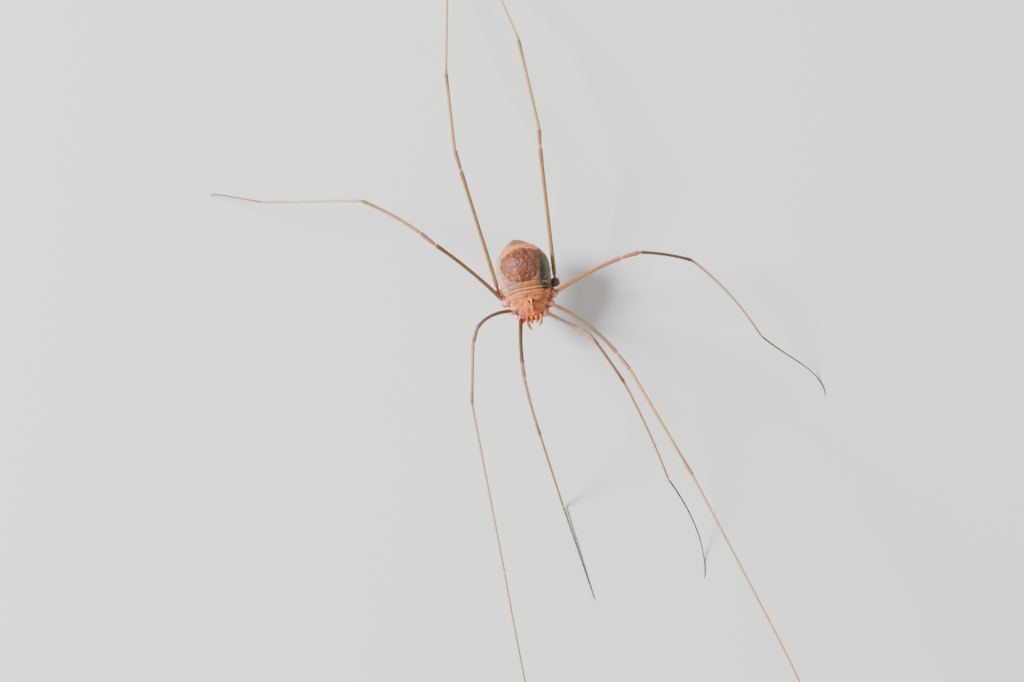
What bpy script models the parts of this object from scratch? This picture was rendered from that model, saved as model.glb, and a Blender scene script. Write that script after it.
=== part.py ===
"""Harvestman, a long-legged arachnid with a body of 8 mm, standing on six legs
and feeling ahead of it with its long second pair.

Every size is in millimetres and every angle in degrees. The meshes are scaled to
metres as they are made. -Y is ahead of the animal, +X is its left side and +Z is up.
It is modelled round the middle of its body, on a floor at z = 0, and the whole
animal is then moved so that the origin is the middle of its footprint.
"""

import math

import bmesh
import bpy
from mathutils import Matrix, Vector

MM = 0.001
ANIMAL = "harvestman"

# Clearance at each joint, and round the eyes.
GAP = 0.16
EYE_GAP = 0.06

# Trunk sections from front to rear: place along Y, half width, top and bottom.
TRUNK_NOSE = (-4.08, 5.92)
TRUNK_TAIL = (4.09, 5.95)
TRUNK_SECTIONS = (
    (-4.00, 0.30, 6.15, 5.65),
    (-3.85, 0.62, 6.40, 5.40),
    (-3.50, 1.10, 6.72, 5.10),
    (-3.00, 1.58, 7.05, 4.90),
    (-2.40, 1.98, 7.35, 4.80),
    (-1.80, 2.24, 7.62, 4.72),
    (-1.20, 2.46, 8.00, 4.60),
    (-0.40, 2.62, 8.62, 4.45),
    (0.50, 2.70, 9.02, 4.35),
    (1.50, 2.58, 8.95, 4.40),
    (2.40, 2.16, 8.35, 4.62),
    (3.15, 1.54, 7.55, 4.95),
    (3.70, 0.92, 6.85, 5.30),
    (4.00, 0.38, 6.35, 5.65),
)
TRUNK_SIDES = 28
TRUNK_RING_STEP = 0.32
WAIST_HEIGHT = 0.45
ROUNDNESS = 2.2

# Each tergite ends in a step down to the next groove, across the back only.
TERGITE_ENDS = (-1.30, -0.85, -0.35, 0.55, 1.35, 2.10, 2.75, 3.30)
GROOVE_WIDTH = 0.09
GROOVE_DEPTH = 0.07
GROOVE_CLEARANCE = 1.7 * GROOVE_WIDTH

# The cut between prosoma and opisthosoma leans back as it goes down.
PARTING_TOP = Vector((0, -1.75, 7.6))
PARTING_LEAN = 19

# The eye hill is a low dome in a seat in the carapace, given as height and half length.
OCULARIUM_Y = -2.70
OCULARIUM_SEAT_Z = 6.62
OCULARIUM_PROFILE = ((0.0, 0.42), (0.55, 0.43), (0.78, 0.40), (0.93, 0.32), (1.03, 0.20), (1.06, 0.08))
OCULARIUM_WIDTH_SHARE = 0.78
OCULARIUM_SIDES = 16
EYE_RADIUS = 0.15
EYE_OFFSET = (0.22, 0.82)

# Middle of each trochanter ball on the left side, and the inner end of its coxa.
TROCHANTERS = {
    1: Vector((1.22, -3.68, 5.35)),
    2: Vector((1.92, -2.92, 5.40)),
    3: Vector((2.47, -1.98, 5.40)),
    4: Vector((2.88, -0.88, 5.28)),
}
COXA_ROOTS = {
    1: Vector((0.50, -2.90, 4.86)),
    2: Vector((0.64, -2.32, 4.80)),
    3: Vector((0.72, -1.72, 4.74)),
    4: Vector((0.78, -1.12, 4.70)),
}
TROCHANTER_RADIUS = 0.46
COXA_SIDES = 10
# Coxa barrel: share of its length and radius. Trochanter ball: distance past its middle and radius.
COXA_BARREL = ((0.0, 0.16), (0.08, 0.25), (0.30, 0.31), (0.55, 0.36), (0.70, 0.37))
TROCHANTER_BALL = ((-0.40, 0.33), (-0.22, 0.42), (0.0, 0.46), (0.22, 0.40), (0.38, 0.26), (0.45, 0.11))

# Limb segments in order, with the length of each for the four pairs of legs.
SEGMENTS = ("femur", "patella", "tibia", "metatarsus")
LENGTHS = {
    1: {"femur": 9.2, "patella": 1.9, "tibia": 7.1, "metatarsus": 10.8},
    2: {"femur": 14.4, "patella": 2.2, "tibia": 13.0, "metatarsus": 16.0},
    3: {"femur": 9.2, "patella": 1.9, "tibia": 7.0, "metatarsus": 10.6},
    4: {"femur": 13.4, "patella": 2.1, "tibia": 10.2, "metatarsus": 14.5},
}
# Added to each femur, as it is measured from the middle of the trochanter ball.
HIP_OFFSET = 0.55

# Radius along each kind of segment, as pairs of share of its length and radius.
PROFILES = {
    "femur": ((0.0, 0.25), (0.04, 0.28), (0.12, 0.25), (0.70, 0.25), (0.93, 0.28), (1.0, 0.26)),
    "patella": ((0.0, 0.25), (0.20, 0.27), (0.75, 0.31), (1.0, 0.28)),
    "tibia": ((0.0, 0.26), (0.10, 0.25), (0.80, 0.25), (0.96, 0.27), (1.0, 0.25)),
    "metatarsus": ((0.0, 0.26), (0.05, 0.25), (0.94, 0.25), (0.98, 0.26), (1.0, 0.25)),
    "tarsus": ((0.0, 0.25), (0.70, 0.24), (0.90, 0.18), (1.0, 0.10)),
}
STEPS = {"femur": 9, "patella": 4, "tibia": 7, "metatarsus": 9}
LIMB_SIDES = 8
TARSUS_SIDES = 6
# Each tarsal article is narrower at its start than at its end.
ARTICLE_LENGTH = 1.0
ARTICLE_NECK = 0.82

# The pose. Each segment has a heading (0 ahead, 90 to the animal's left, 180 back),
# a pitch (up is positive) and a turn, by which its heading swings along it.
POSE = {
    (1, "right"): {
        "femur": (-11, 51, 8), "patella": (-6, 35, 0), "tibia": (6, -43, 7), "metatarsus": (10, -55, 0),
    },
    (1, "left"): {
        "femur": (33, 62, 0), "patella": (40, 22, 0), "tibia": (30, -48, -5), "metatarsus": (14, -20, -8),
    },
    (2, "right"): {
        "femur": (-51, 68, 45), "patella": (-25, 38, 0), "tibia": (-12, 54, 0), "metatarsus": (-1, -4, 0),
    },
    (2, "left"): {
        "femur": (30, 50, -25), "patella": (24, 14, 0), "tibia": (16, 18, 0), "metatarsus": (15, 2, 0),
    },
    (3, "right"): {
        "femur": (-138, 27, 12), "patella": (-140, 8, 0),
        "tibia": (-133, -11, 12), "metatarsus": (-105, -18, 0),
    },
    (3, "left"): {
        "femur": (97, 44, -12), "patella": (94, 5, 0), "tibia": (79, -40, -14), "metatarsus": (33, -19, -22),
    },
    (4, "right"): {
        "femur": (-173, 33, 0), "patella": (-175, 12, 0), "tibia": (174, -28, 0), "metatarsus": (168, -28, 0),
    },
    (4, "left"): {
        "femur": (175, 23, 0), "patella": (170, -23, 0), "tibia": (180, -11, 0), "metatarsus": (-172, -27, 0),
    },
}
# Each tarsus has a length, a heading at its start, a turn that is even and a hook that
# comes near the tip. It lands flat, stands on its tip, or feels the air.
HOOK_POWER = 4
TARSI = {
    (1, "right"): {"length": 10.2, "heading": 7, "turn": -1, "hook": 0, "foot": "flat"},
    (1, "left"): {"length": 12.0, "heading": 29, "turn": -27, "hook": -22, "foot": "flat"},
    (2, "right"): {"length": 22.0, "heading": -2, "turn": 4, "hook": 0, "foot": "raised"},
    (2, "left"): {"length": 22.0, "heading": 15, "turn": -8, "hook": 0, "foot": "raised"},
    (3, "right"): {"length": 8.9, "heading": -112, "turn": -21, "hook": 0, "foot": "tip"},
    (3, "left"): {"length": 10.2, "heading": 44, "turn": 23, "hook": -80, "foot": "flat"},
    (4, "right"): {"length": 15.0, "heading": 170, "turn": 24, "hook": 0, "foot": "flat"},
    (4, "left"): {"length": 15.0, "heading": -172, "turn": -24, "hook": 0, "foot": "flat"},
}
# A flat foot runs straight, then bends level over the last share of its length.
FLAT_BEND_START = 0.72
FLAT_BEND_END = 0.90
FLAT_FOOT_HEIGHT = 0.09
# A foot that stands on its tip sets off almost level, then hooks down.
TIP_START_PITCH = -2
TIP_FOOT_HEIGHT = -0.05
# A raised foot sinks from the pitch of its metatarsus to this at its tip.
RAISED_TIP_PITCH = {"right": -52, "left": -46}
RAISED_DROOP_POWER = 1.5
# A tarsus that lands finds its pitch by halving this many times between two limits.
HALVINGS = 40
TIP_PITCH_LIMITS = (-125.0, 0.0)
FLAT_PITCH_LIMITS = (-85.0, 20.0)

# Left chelicera: the base and the hand, then the moving finger, as place and radius.
CHELICERA = (
    (Vector((0.23, -3.80, 6.00)), 0.17),
    (Vector((0.24, -4.10, 6.06)), 0.18),
    (Vector((0.25, -4.30, 6.00)), 0.19),
    (Vector((0.255, -4.42, 5.82)), 0.19),
    (Vector((0.25, -4.46, 5.56)), 0.185),
    (Vector((0.24, -4.44, 5.28)), 0.14),
    (Vector((0.22, -4.38, 5.06)), 0.08),
    (Vector((0.20, -4.32, 4.94)), 0.03),
)
CHELICERA_FINGER = (
    (Vector((0.25, -4.46, 5.46)), 0.09),
    (Vector((0.25, -4.58, 5.24)), 0.075),
    (Vector((0.22, -4.52, 5.02)), 0.03),
)
# Left pedipalp, from its root in the prosoma to the claw.
PEDIPALP = (
    (Vector((0.60, -3.60, 5.84)), 0.18),
    (Vector((0.70, -4.05, 5.93)), 0.21),
    (Vector((0.72, -4.34, 6.08)), 0.20),
    (Vector((0.70, -4.58, 6.18)), 0.20),
    (Vector((0.66, -4.78, 6.12)), 0.21),
    (Vector((0.60, -4.92, 5.90)), 0.20),
    (Vector((0.53, -5.00, 5.60)), 0.18),
    (Vector((0.45, -5.06, 5.30)), 0.15),
    (Vector((0.38, -5.12, 5.04)), 0.10),
    (Vector((0.34, -5.15, 4.90)), 0.04),
)
# The left pedipalp is drawn in, so that it reaches less far ahead of its root.
PALP_REACH = {"left": 0.86, "right": 1.0}
MOUTHPART_SIDES = 8

COLOURS = {
    "carapace": ((0.48, 0.20, 0.08), 0.45),
    "opisthosoma": ((0.22, 0.10, 0.06), 0.55),
    "eye": ((0.01, 0.01, 0.01), 0.08),
    "coxa": ((0.58, 0.30, 0.20), 0.35),
    "femur": ((0.30, 0.14, 0.05), 0.4),
    "patella": ((0.40, 0.20, 0.15), 0.4),
    "tibia": ((0.45, 0.22, 0.08), 0.4),
    "metatarsus": ((0.52, 0.33, 0.20), 0.4),
    "tarsus": ((0.12, 0.06, 0.03), 0.45),
}


def clear_scene():
    for old in list(bpy.data.objects):
        bpy.data.objects.remove(old, do_unlink=True)


def make_collection(name):
    collection = bpy.data.collections.new(name)
    bpy.context.scene.collection.children.link(collection)
    return collection


def make_material(name):
    colour, roughness = COLOURS[name]
    material = bpy.data.materials.new(name)
    material.use_nodes = True
    shader = material.node_tree.nodes["Principled BSDF"]
    shader.inputs["Base Color"].default_value = (*colour, 1)
    shader.inputs["Roughness"].default_value = roughness
    shader.inputs["Metallic"].default_value = 0
    return material


def mirrored(point, side):
    """The point on the left side, or its like on the right."""
    return Vector((point.x if side == "left" else -point.x, point.y, point.z))


def between(stations, place):
    """The value at a place, read along straight lines between (place, value) stations."""
    for (place_a, value_a), (place_b, value_b) in zip(stations, stations[1:]):
        if place <= place_b:
            share = (place - place_a) / (place_b - place_a)
            return value_a + (value_b - value_a) * share
    return stations[-1][1]


def smooth_between(sections, place):
    """The section at a place along Y, on a smooth curve through the listed sections."""
    last = len(sections) - 1
    index = max(i for i in range(last) if sections[i][0] <= place or i == 0)
    around = [sections[min(max(i, 0), last)] for i in range(index - 1, index + 3)]
    share = (place - around[1][0]) / (around[2][0] - around[1][0])
    values = []
    for before, start, end, after in zip(*(section[1:] for section in around)):
        slope_in = (end - before) / 2
        slope_out = (after - start) / 2
        values.append(
            start * (1 - 3 * share**2 + 2 * share**3)
            + end * (3 * share**2 - 2 * share**3)
            + slope_in * (share - 2 * share**2 + share**3)
            + slope_out * (share**3 - share**2)
        )
    return values


def loft(rings, tips=(None, None)):
    """A closed mesh through rings of equal count. Each end is a flat cap, or runs to a tip point."""
    mesh = bmesh.new()
    rows = [[mesh.verts.new(point) for point in ring] for ring in rings]
    count = len(rows[0])
    for row, following in zip(rows, rows[1:]):
        for i in range(count):
            mesh.faces.new((row[i], row[(i + 1) % count], following[(i + 1) % count], following[i]))
    for row, tip in ((rows[0], tips[0]), (rows[-1], tips[1])):
        if tip is None:
            mesh.faces.new(row)
            continue
        pole = mesh.verts.new(tip)
        for i in range(count):
            mesh.faces.new((row[i], row[(i + 1) % count], pole))
    bmesh.ops.recalc_face_normals(mesh, faces=mesh.faces)
    return mesh


def add_object(name, mesh, collection, parent=None, material=None, origin=(0, 0, 0)):
    """Makes an object of a mesh in millimetres, with its own origin at the given point."""
    mesh.transform(Matrix.Scale(MM, 4) @ Matrix.Translation(-Vector(origin)))
    data = bpy.data.meshes.new(name)
    mesh.to_mesh(data)
    mesh.free()
    data.shade_smooth()
    data.set_sharp_from_angle(angle=math.radians(40))
    part = bpy.data.objects.new(name, data)
    part.location = Vector(origin) * MM
    part.parent = parent
    collection.objects.link(part)
    if material is not None:
        data.materials.append(material)
    else:
        part.hide_render = True
        part.display_type = "WIRE"
    return part


def cut(part, cutter):
    trim = part.modifiers.new("cut by " + cutter.name, "BOOLEAN")
    trim.operation = "DIFFERENCE"
    trim.object = cutter


def ring_places():
    """Places of the trunk's sections: even steps, with three close ones at each groove."""
    front = TRUNK_SECTIONS[0][0]
    rear = TRUNK_SECTIONS[-1][0]
    count = round((rear - front) / TRUNK_RING_STEP)
    even = [front + (rear - front) * i / count for i in range(count + 1)]
    clear = [y for y in even if all(abs(y - end) > GROOVE_CLEARANCE for end in TERGITE_ENDS)]
    steps = [end + shift for end in TERGITE_ENDS for shift in (-GROOVE_WIDTH, 0, GROOVE_WIDTH)]
    return sorted(clear + steps)


def trunk_ring(place, swell):
    half_width, top, bottom = smooth_between(TRUNK_SECTIONS, place)
    waist = bottom + (top - bottom) * WAIST_HEIGHT
    groove = GROOVE_DEPTH if any(abs(place - end) < 1e-6 for end in TERGITE_ENDS) else 0
    points = []
    for i in range(TRUNK_SIDES):
        turn = 2 * math.pi * i / TRUNK_SIDES
        across = math.copysign(abs(math.cos(turn)) ** (2 / ROUNDNESS), math.cos(turn))
        upward = math.copysign(abs(math.sin(turn)) ** (2 / ROUNDNESS), math.sin(turn))
        dip = groove * max(0.0, math.sin(turn)) ** 0.5
        height = (top - waist if upward > 0 else waist - bottom) + swell - dip
        width = half_width + swell - dip
        points.append(Vector((width * across, place, waist + height * upward)))
    return points


def trunk(swell=0.0):
    """The whole trunk, prosoma and opisthosoma in one, larger all round by the swell."""
    rings = [trunk_ring(place, swell) for place in ring_places()]
    nose = Vector((0, TRUNK_NOSE[0] - swell, TRUNK_NOSE[1]))
    tail = Vector((0, TRUNK_TAIL[0] + swell, TRUNK_TAIL[1]))
    return loft(rings, (nose, tail))


def half_trunk(keep_front):
    """The part of the trunk on one side of the parting plane, half a gap away from it."""
    lean = math.radians(PARTING_LEAN)
    ahead = Vector((0, -math.cos(lean), -math.sin(lean)))
    facing = -ahead if keep_front else ahead
    mesh = trunk()
    everything = mesh.verts[:] + mesh.edges[:] + mesh.faces[:]
    bmesh.ops.bisect_plane(
        mesh, geom=everything, plane_co=PARTING_TOP - facing * GAP / 2, plane_no=facing, clear_outer=True
    )
    rim = [edge for edge in mesh.edges if edge.is_boundary]
    bmesh.ops.holes_fill(mesh, edges=rim, sides=0)
    bmesh.ops.recalc_face_normals(mesh, faces=mesh.faces)
    return mesh


def heading_frame(heading, pitch):
    """Direction of travel, level side and upward side for a heading and a pitch."""
    turn = math.radians(heading)
    rise = math.radians(pitch)
    along = Vector((math.sin(turn) * math.cos(rise), -math.cos(turn) * math.cos(rise), math.sin(rise)))
    across = Vector((math.cos(turn), math.sin(turn), 0))
    return along, across, along.cross(across)


def walk(start, headings, pitches, length):
    """Points along a limb that is made of even steps, each with its own heading and pitch."""
    points = [start.copy()]
    for heading, pitch in zip(headings, pitches):
        along = heading_frame(heading, pitch)[0]
        points.append(points[-1] + along * (length / len(headings)))
    return points


def limb(points, headings, radii, sides, start_plane=None, end_plane=None):
    """A closed tube. Its ends are square, or lie in a given plane as (point, normal)."""
    rings = []
    count = len(points)
    for i, (centre, radius) in enumerate(zip(points, radii)):
        before = points[max(i - 1, 0)]
        after = points[min(i + 1, count - 1)]
        along = (after - before).normalized()
        heading = math.radians(headings[min(i, count - 2)])
        across = Vector((math.cos(heading), math.sin(heading), 0))
        across = (across - along * across.dot(along)).normalized()
        upward = along.cross(across)
        ring = []
        for k in range(sides):
            turn = 2 * math.pi * (k + 0.5) / sides
            ring.append(centre + (across * math.cos(turn) + upward * math.sin(turn)) * radius)
        plane = start_plane if i == 0 else end_plane if i == count - 1 else None
        if plane is not None:
            place, normal = plane
            ring = [point + along * ((place - point).dot(normal) / along.dot(normal)) for point in ring]
        rings.append(ring)
    return loft(rings)


def tube(stations, side, sides, swell=0.0):
    """A closed tube through (place, radius) stations given for the left side."""
    points = [mirrored(place, side) for place, _ in stations]
    rings = []
    for i, (centre, (_, radius)) in enumerate(zip(points, stations)):
        along = (points[min(i + 1, len(points) - 1)] - points[max(i - 1, 0)]).normalized()
        if i == 0:
            across = along.orthogonal()
        across = (across - along * across.dot(along)).normalized()
        upward = along.cross(across)
        turns = [2 * math.pi * k / sides for k in range(sides)]
        reach = radius + swell
        rings.append([centre + (across * math.cos(turn) + upward * math.sin(turn)) * reach for turn in turns])
    return loft(rings)


def coxa_stations(pair):
    """Place and radius along a coxa and its trochanter ball, on the left side."""
    root = COXA_ROOTS[pair]
    ball = TROCHANTERS[pair]
    along = (ball - root).normalized()
    barrel = [(root.lerp(ball, share), radius) for share, radius in COXA_BARREL]
    knob = [(ball + along * past, radius) for past, radius in TROCHANTER_BALL]
    return barrel + knob


def segment_headings(kind, pose):
    heading, pitch, turn = pose[kind]
    steps = STEPS[kind]
    headings = [heading + turn * ((i + 0.5) / steps - 0.5) for i in range(steps)]
    return headings, [pitch] * steps


def tarsus_pitches(foot, start_height, length, side, start_pitch, steps):
    """Pitches along a tarsus, found by halving until its end is at the height of its foot."""
    if foot == "raised":
        sag = RAISED_TIP_PITCH[side] - start_pitch
        return [start_pitch + sag * ((i + 0.5) / steps) ** RAISED_DROOP_POWER for i in range(steps)]

    def pitches(guess):
        found = []
        for i in range(steps):
            share = (i + 0.5) / steps
            if foot == "tip":
                found.append(TIP_START_PITCH + (guess - TIP_START_PITCH) * share)
            else:
                easing = (FLAT_BEND_END - share) / (FLAT_BEND_END - FLAT_BEND_START)
                found.append(guess * min(1.0, max(0.0, easing)))
        return found

    target = TIP_FOOT_HEIGHT if foot == "tip" else FLAT_FOOT_HEIGHT
    steep, shallow = TIP_PITCH_LIMITS if foot == "tip" else FLAT_PITCH_LIMITS
    for _ in range(HALVINGS):
        guess = (steep + shallow) / 2
        end_height = start_height + sum(math.sin(math.radians(p)) for p in pitches(guess)) * length / steps
        if end_height > target:
            shallow = guess
        else:
            steep = guess
    return pitches((steep + shallow) / 2)


def joint_plane(point, before, after, sign):
    """The plane of a joint: square to the mean direction, half a gap back or on from the point."""
    normal = (before + after).normalized()
    return point + normal * (sign * GAP / 2), normal


def build_leg(pair, side, collection, parent, materials):
    name = f"leg{pair}_{side}_"
    pose = POSE[pair, side]
    tarsus = TARSI[pair, side]
    ball = mirrored(TROCHANTERS[pair], side)
    coxa = tube(coxa_stations(pair), side, COXA_SIDES)
    add_object(name + "coxa", coxa, collection, parent, materials["coxa"], ball)

    paths = []
    start = ball
    for kind in SEGMENTS:
        length = LENGTHS[pair][kind] + (HIP_OFFSET if kind == "femur" else 0)
        headings, pitches = segment_headings(kind, pose)
        points = walk(start, headings, pitches, length)
        paths.append((kind, points, headings))
        start = points[-1]

    steps = 2 * round(tarsus["length"] / ARTICLE_LENGTH)
    shares = [(i + 0.5) / steps for i in range(steps)]
    headings = [tarsus["heading"] + tarsus["turn"] * s + tarsus["hook"] * s**HOOK_POWER for s in shares]
    pitches = tarsus_pitches(
        tarsus["foot"], start.z, tarsus["length"], side, pose["metatarsus"][1], steps
    )
    paths.append(("tarsus", walk(start, headings, pitches, tarsus["length"]), headings))

    previous = None
    for index, (kind, points, headings) in enumerate(paths):
        leaving = (points[1] - points[0]).normalized()
        arriving = (points[-1] - points[-2]).normalized()
        shares = [i / (len(points) - 1) for i in range(len(points))]
        radii = [between(PROFILES[kind], share) for share in shares]
        if kind == "femur":
            # The rim of its end is a gap away from the ball, and its middle a little closer.
            clear = math.sqrt((TROCHANTER_RADIUS + GAP) ** 2 - radii[0] ** 2)
            points = [points[0] + leaving * clear] + points[1:]
            start_plane = None
        else:
            start_plane = joint_plane(points[0], previous, leaving, 1)
        if kind == "tarsus":
            radii = [r * (ARTICLE_NECK if i % 2 == 0 and i else 1) for i, r in enumerate(radii)]
            end_plane = None
        else:
            following = paths[index + 1][1]
            onward = (following[1] - following[0]).normalized()
            end_plane = joint_plane(points[-1], arriving, onward, -1)
        sides = TARSUS_SIDES if kind == "tarsus" else LIMB_SIDES
        mesh = limb(points, headings, radii, sides, start_plane, end_plane)
        for vert in mesh.verts:
            vert.co.z = max(vert.co.z, 0.0)
        add_object(name + kind, mesh, collection, parent, materials[kind], points[0])
        previous = arriving


def build_trunk(collection, cutters, parent, materials):
    prosoma = add_object("prosoma", half_trunk(True), collection, parent, materials["carapace"])
    opisthosoma = add_object("opisthosoma", half_trunk(False), collection, parent, materials["opisthosoma"])
    for pair in TROCHANTERS:
        for side in ("left", "right"):
            socket = tube(coxa_stations(pair), side, COXA_SIDES, GAP)
            cutter = add_object(f"socket{pair}_{side}", socket, cutters, parent)
            cut(prosoma, cutter)
            if pair >= 3:
                cut(opisthosoma, cutter)
    return prosoma


def dome_ring(middle, reach, swell):
    """A level ring of the eye hill, narrower than it is long, larger all round by the swell."""
    turns = [2 * math.pi * (k + 0.5) / OCULARIUM_SIDES for k in range(OCULARIUM_SIDES)]
    half_width = reach * OCULARIUM_WIDTH_SHARE + swell
    return [middle + Vector((math.cos(t) * half_width, math.sin(t) * (reach + swell), 0)) for t in turns]


def build_eyes(prosoma, collection, cutters, parent, materials):
    base = Vector((0, OCULARIUM_Y, OCULARIUM_SEAT_Z))
    longest = max(reach for _, reach in OCULARIUM_PROFILE)
    seat = loft([dome_ring(base + Vector((0, 0, height)), longest, GAP) for height in (0, 2)])
    cut(prosoma, add_object("ocularium_seat", seat, cutters, parent))
    rings = [dome_ring(base + Vector((0, 0, GAP + height)), reach, 0) for height, reach in OCULARIUM_PROFILE]
    ocularium = add_object("ocularium", loft(rings), collection, parent, materials["carapace"], base)

    for side in ("left", "right"):
        middle = mirrored(base + Vector((EYE_OFFSET[0], 0, EYE_OFFSET[1] + GAP)), side)
        for name, radius, home, finish in (
            ("eye_" + side, EYE_RADIUS, collection, materials["eye"]),
            ("eye_socket_" + side, EYE_RADIUS + EYE_GAP, cutters, None),
        ):
            ball = bmesh.new()
            bmesh.ops.create_uvsphere(
                ball, u_segments=12, v_segments=8, radius=radius, matrix=Matrix.Translation(middle)
            )
            part = add_object(name, ball, home, parent, finish, middle)
        cut(ocularium, part)


def join_by_union(part, other):
    """Fuses a second body into a part, and keeps the second as a hidden guide."""
    fuse = part.modifiers.new("fuse " + other.name, "BOOLEAN")
    fuse.operation = "UNION"
    fuse.object = other


def palp_stations(side):
    """Place and radius along a pedipalp, given for the left side, as far ahead as its own side's reaches."""
    root = PEDIPALP[0][0]
    reach = PALP_REACH[side]
    return [(Vector((place.x, root.y + (place.y - root.y) * reach, place.z)), r) for place, r in PEDIPALP]


def build_mouthparts(collection, cutters, parent, materials):
    clearance = add_object("trunk_clearance", trunk(GAP), cutters, parent)
    for side in ("left", "right"):
        finger = add_object("finger_" + side, tube(CHELICERA_FINGER, side, MOUTHPART_SIDES), cutters, parent)
        hand_mesh = tube(CHELICERA, side, MOUTHPART_SIDES)
        hand = add_object("chelicera_" + side, hand_mesh, collection, parent, materials["carapace"])
        join_by_union(hand, finger)
        cut(hand, clearance)
        palp_mesh = tube(palp_stations(side), side, MOUTHPART_SIDES)
        palp = add_object("pedipalp_" + side, palp_mesh, collection, parent, materials["carapace"])
        cut(palp, clearance)


def centre_on_footprint(parent, collection):
    """Moves the parent so that the origin is the middle of the model's box, on the floor."""
    bpy.context.view_layer.update()
    parts = [part for part in collection.objects if part.data]
    corners = [part.matrix_world @ vert.co for part in parts for vert in part.data.vertices]
    middle_x = (min(c.x for c in corners) + max(c.x for c in corners)) / 2
    middle_y = (min(c.y for c in corners) + max(c.y for c in corners)) / 2
    parent.location = (-middle_x, -middle_y, 0)


def build_harvestman():
    clear_scene()
    collection = make_collection(ANIMAL)
    cutters = make_collection("cutters")
    materials = {name: make_material(name) for name in COLOURS}
    parent = bpy.data.objects.new(ANIMAL + "_root", None)
    collection.objects.link(parent)

    prosoma = build_trunk(collection, cutters, parent, materials)
    build_eyes(prosoma, collection, cutters, parent, materials)
    build_mouthparts(collection, cutters, parent, materials)
    for pair, side in POSE:
        build_leg(pair, side, collection, parent, materials)
    centre_on_footprint(parent, collection)


build_harvestman()
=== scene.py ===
"""A life-size harvestman with a body of 8 mm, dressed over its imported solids.

Shapes are worked out in millimetres round the middle of the animal's body, with -Y ahead
of it, +X its left side and z = 0 the floor. Each finished piece is then scaled to metres
and moved on to the solids.
"""

import math
import random

import bpy
from mathutils import Matrix, Vector, kdtree, noise


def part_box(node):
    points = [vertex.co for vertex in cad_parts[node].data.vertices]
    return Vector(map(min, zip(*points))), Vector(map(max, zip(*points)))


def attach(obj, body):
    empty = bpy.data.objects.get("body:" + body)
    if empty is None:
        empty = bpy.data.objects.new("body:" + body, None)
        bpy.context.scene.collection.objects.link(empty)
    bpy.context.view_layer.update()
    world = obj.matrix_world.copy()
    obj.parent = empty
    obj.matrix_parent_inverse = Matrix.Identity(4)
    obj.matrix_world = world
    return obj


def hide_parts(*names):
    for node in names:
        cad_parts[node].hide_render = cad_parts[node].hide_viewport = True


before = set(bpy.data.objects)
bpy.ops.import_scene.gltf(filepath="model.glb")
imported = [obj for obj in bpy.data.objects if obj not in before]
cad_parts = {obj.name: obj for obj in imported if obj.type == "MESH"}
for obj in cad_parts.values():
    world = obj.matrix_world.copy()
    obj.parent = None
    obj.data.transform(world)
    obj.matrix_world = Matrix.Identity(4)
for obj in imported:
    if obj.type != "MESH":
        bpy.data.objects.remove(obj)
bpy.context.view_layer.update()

MM = 0.001
SIDES = ("left", "right")
PAIRS = (1, 2, 3, 4)
LEGS = [(pair, side) for pair in PAIRS for side in SIDES]
SEGMENTS = ("femur", "patella", "tibia", "metatarsus", "tarsus")

# Sides of the rings that the solids of the limbs are made of.
COXA_RING = 10
LIMB_RING = 8
TARSUS_RING = 6
# A point among the roots of the coxae, from which their rings are read outwards.
COXA_CENTRE = Vector((0, -2, 4.6))

# The middle of the eye hill, from which the body's own coordinates are found.
EYE_HILL = Vector((0, -2.70, 7.30))

# Trunk sections from front to rear: place along Y, half width, top and bottom.
TRUNK = (
    (-4.05, 0.16, 6.00, 5.80),
    (-3.98, 0.42, 6.22, 5.62),
    (-3.82, 0.74, 6.42, 5.40),
    (-3.50, 1.04, 6.72, 5.12),
    (-3.00, 1.46, 7.04, 4.92),
    (-2.40, 1.86, 7.34, 4.82),
    (-1.80, 2.18, 7.62, 4.74),
    (-1.20, 2.44, 8.02, 4.62),
    (-0.40, 2.60, 8.62, 4.47),
    (0.50, 2.70, 9.02, 4.37),
    (1.50, 2.62, 8.95, 4.42),
    (2.40, 2.24, 8.35, 4.64),
    (3.15, 1.60, 7.55, 4.97),
    (3.70, 0.92, 6.85, 5.32),
    (3.98, 0.42, 6.38, 5.66),
    (4.07, 0.16, 6.12, 5.88),
)
TRUNK_STEP = 0.16
TRUNK_SIDES = 72
# The widest level of a section, as a share of its height.
WAIST = 0.45

# The trunk lies a little to the right of its own middle line, and its tail swings further.
TRUNK_SHIFT = -0.06
SHIFT_BEGINS, SHIFT_ENDS = -2.5, -0.5
TAIL_SWING = -0.24
SWING_BEGINS = 1

# Voxel of the skin that joins the trunk, the coxae and the eye hill, and its smoothing.
SKIN_VOXEL = 0.045
SKIN_SMOOTHING = 5
# The same for the skins of the mouthparts.
MOUTHPART_VOXEL = 0.025
MOUTHPART_SMOOTHING = 3

# Steps of a curve between two of its given points, and the shortest step of a tube.
FINE_STEPS = 10
SHORTEST_STEP = 0.02

# The prosoma ends on the back at this place, under this height leaning to the rear.
PROSOMA_REAR = -2.02
PROSOMA_TOP = 7.7
PROSOMA_LEAN = 0.34

# Rear edges of the plates across the back, from front to rear, with the depth of each groove.
PLATE_EDGES = (
    (-1.98, 0.050),
    (-1.62, 0.065),
    (-1.30, 0.050),
    (-0.80, 0.045),
    (-0.10, 0.014),
    (0.62, 0.016),
    (1.36, 0.018),
    (2.08, 0.022),
    (2.72, 0.040),
    (3.20, 0.050),
    (3.62, 0.050),
)
# Rear edges of the plates across the belly.
BELLY_EDGES = (-0.9, 0.0, 0.85, 1.65, 2.35, 2.95, 3.45)
BELLY_GROOVE = 0.03
GROOVE_WIDTH = 0.055
# Strength of the painted shade in the grooves, for their depth.
GROOVE_SHADE = 6.5
PLATE_RISE = 0.055
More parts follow.
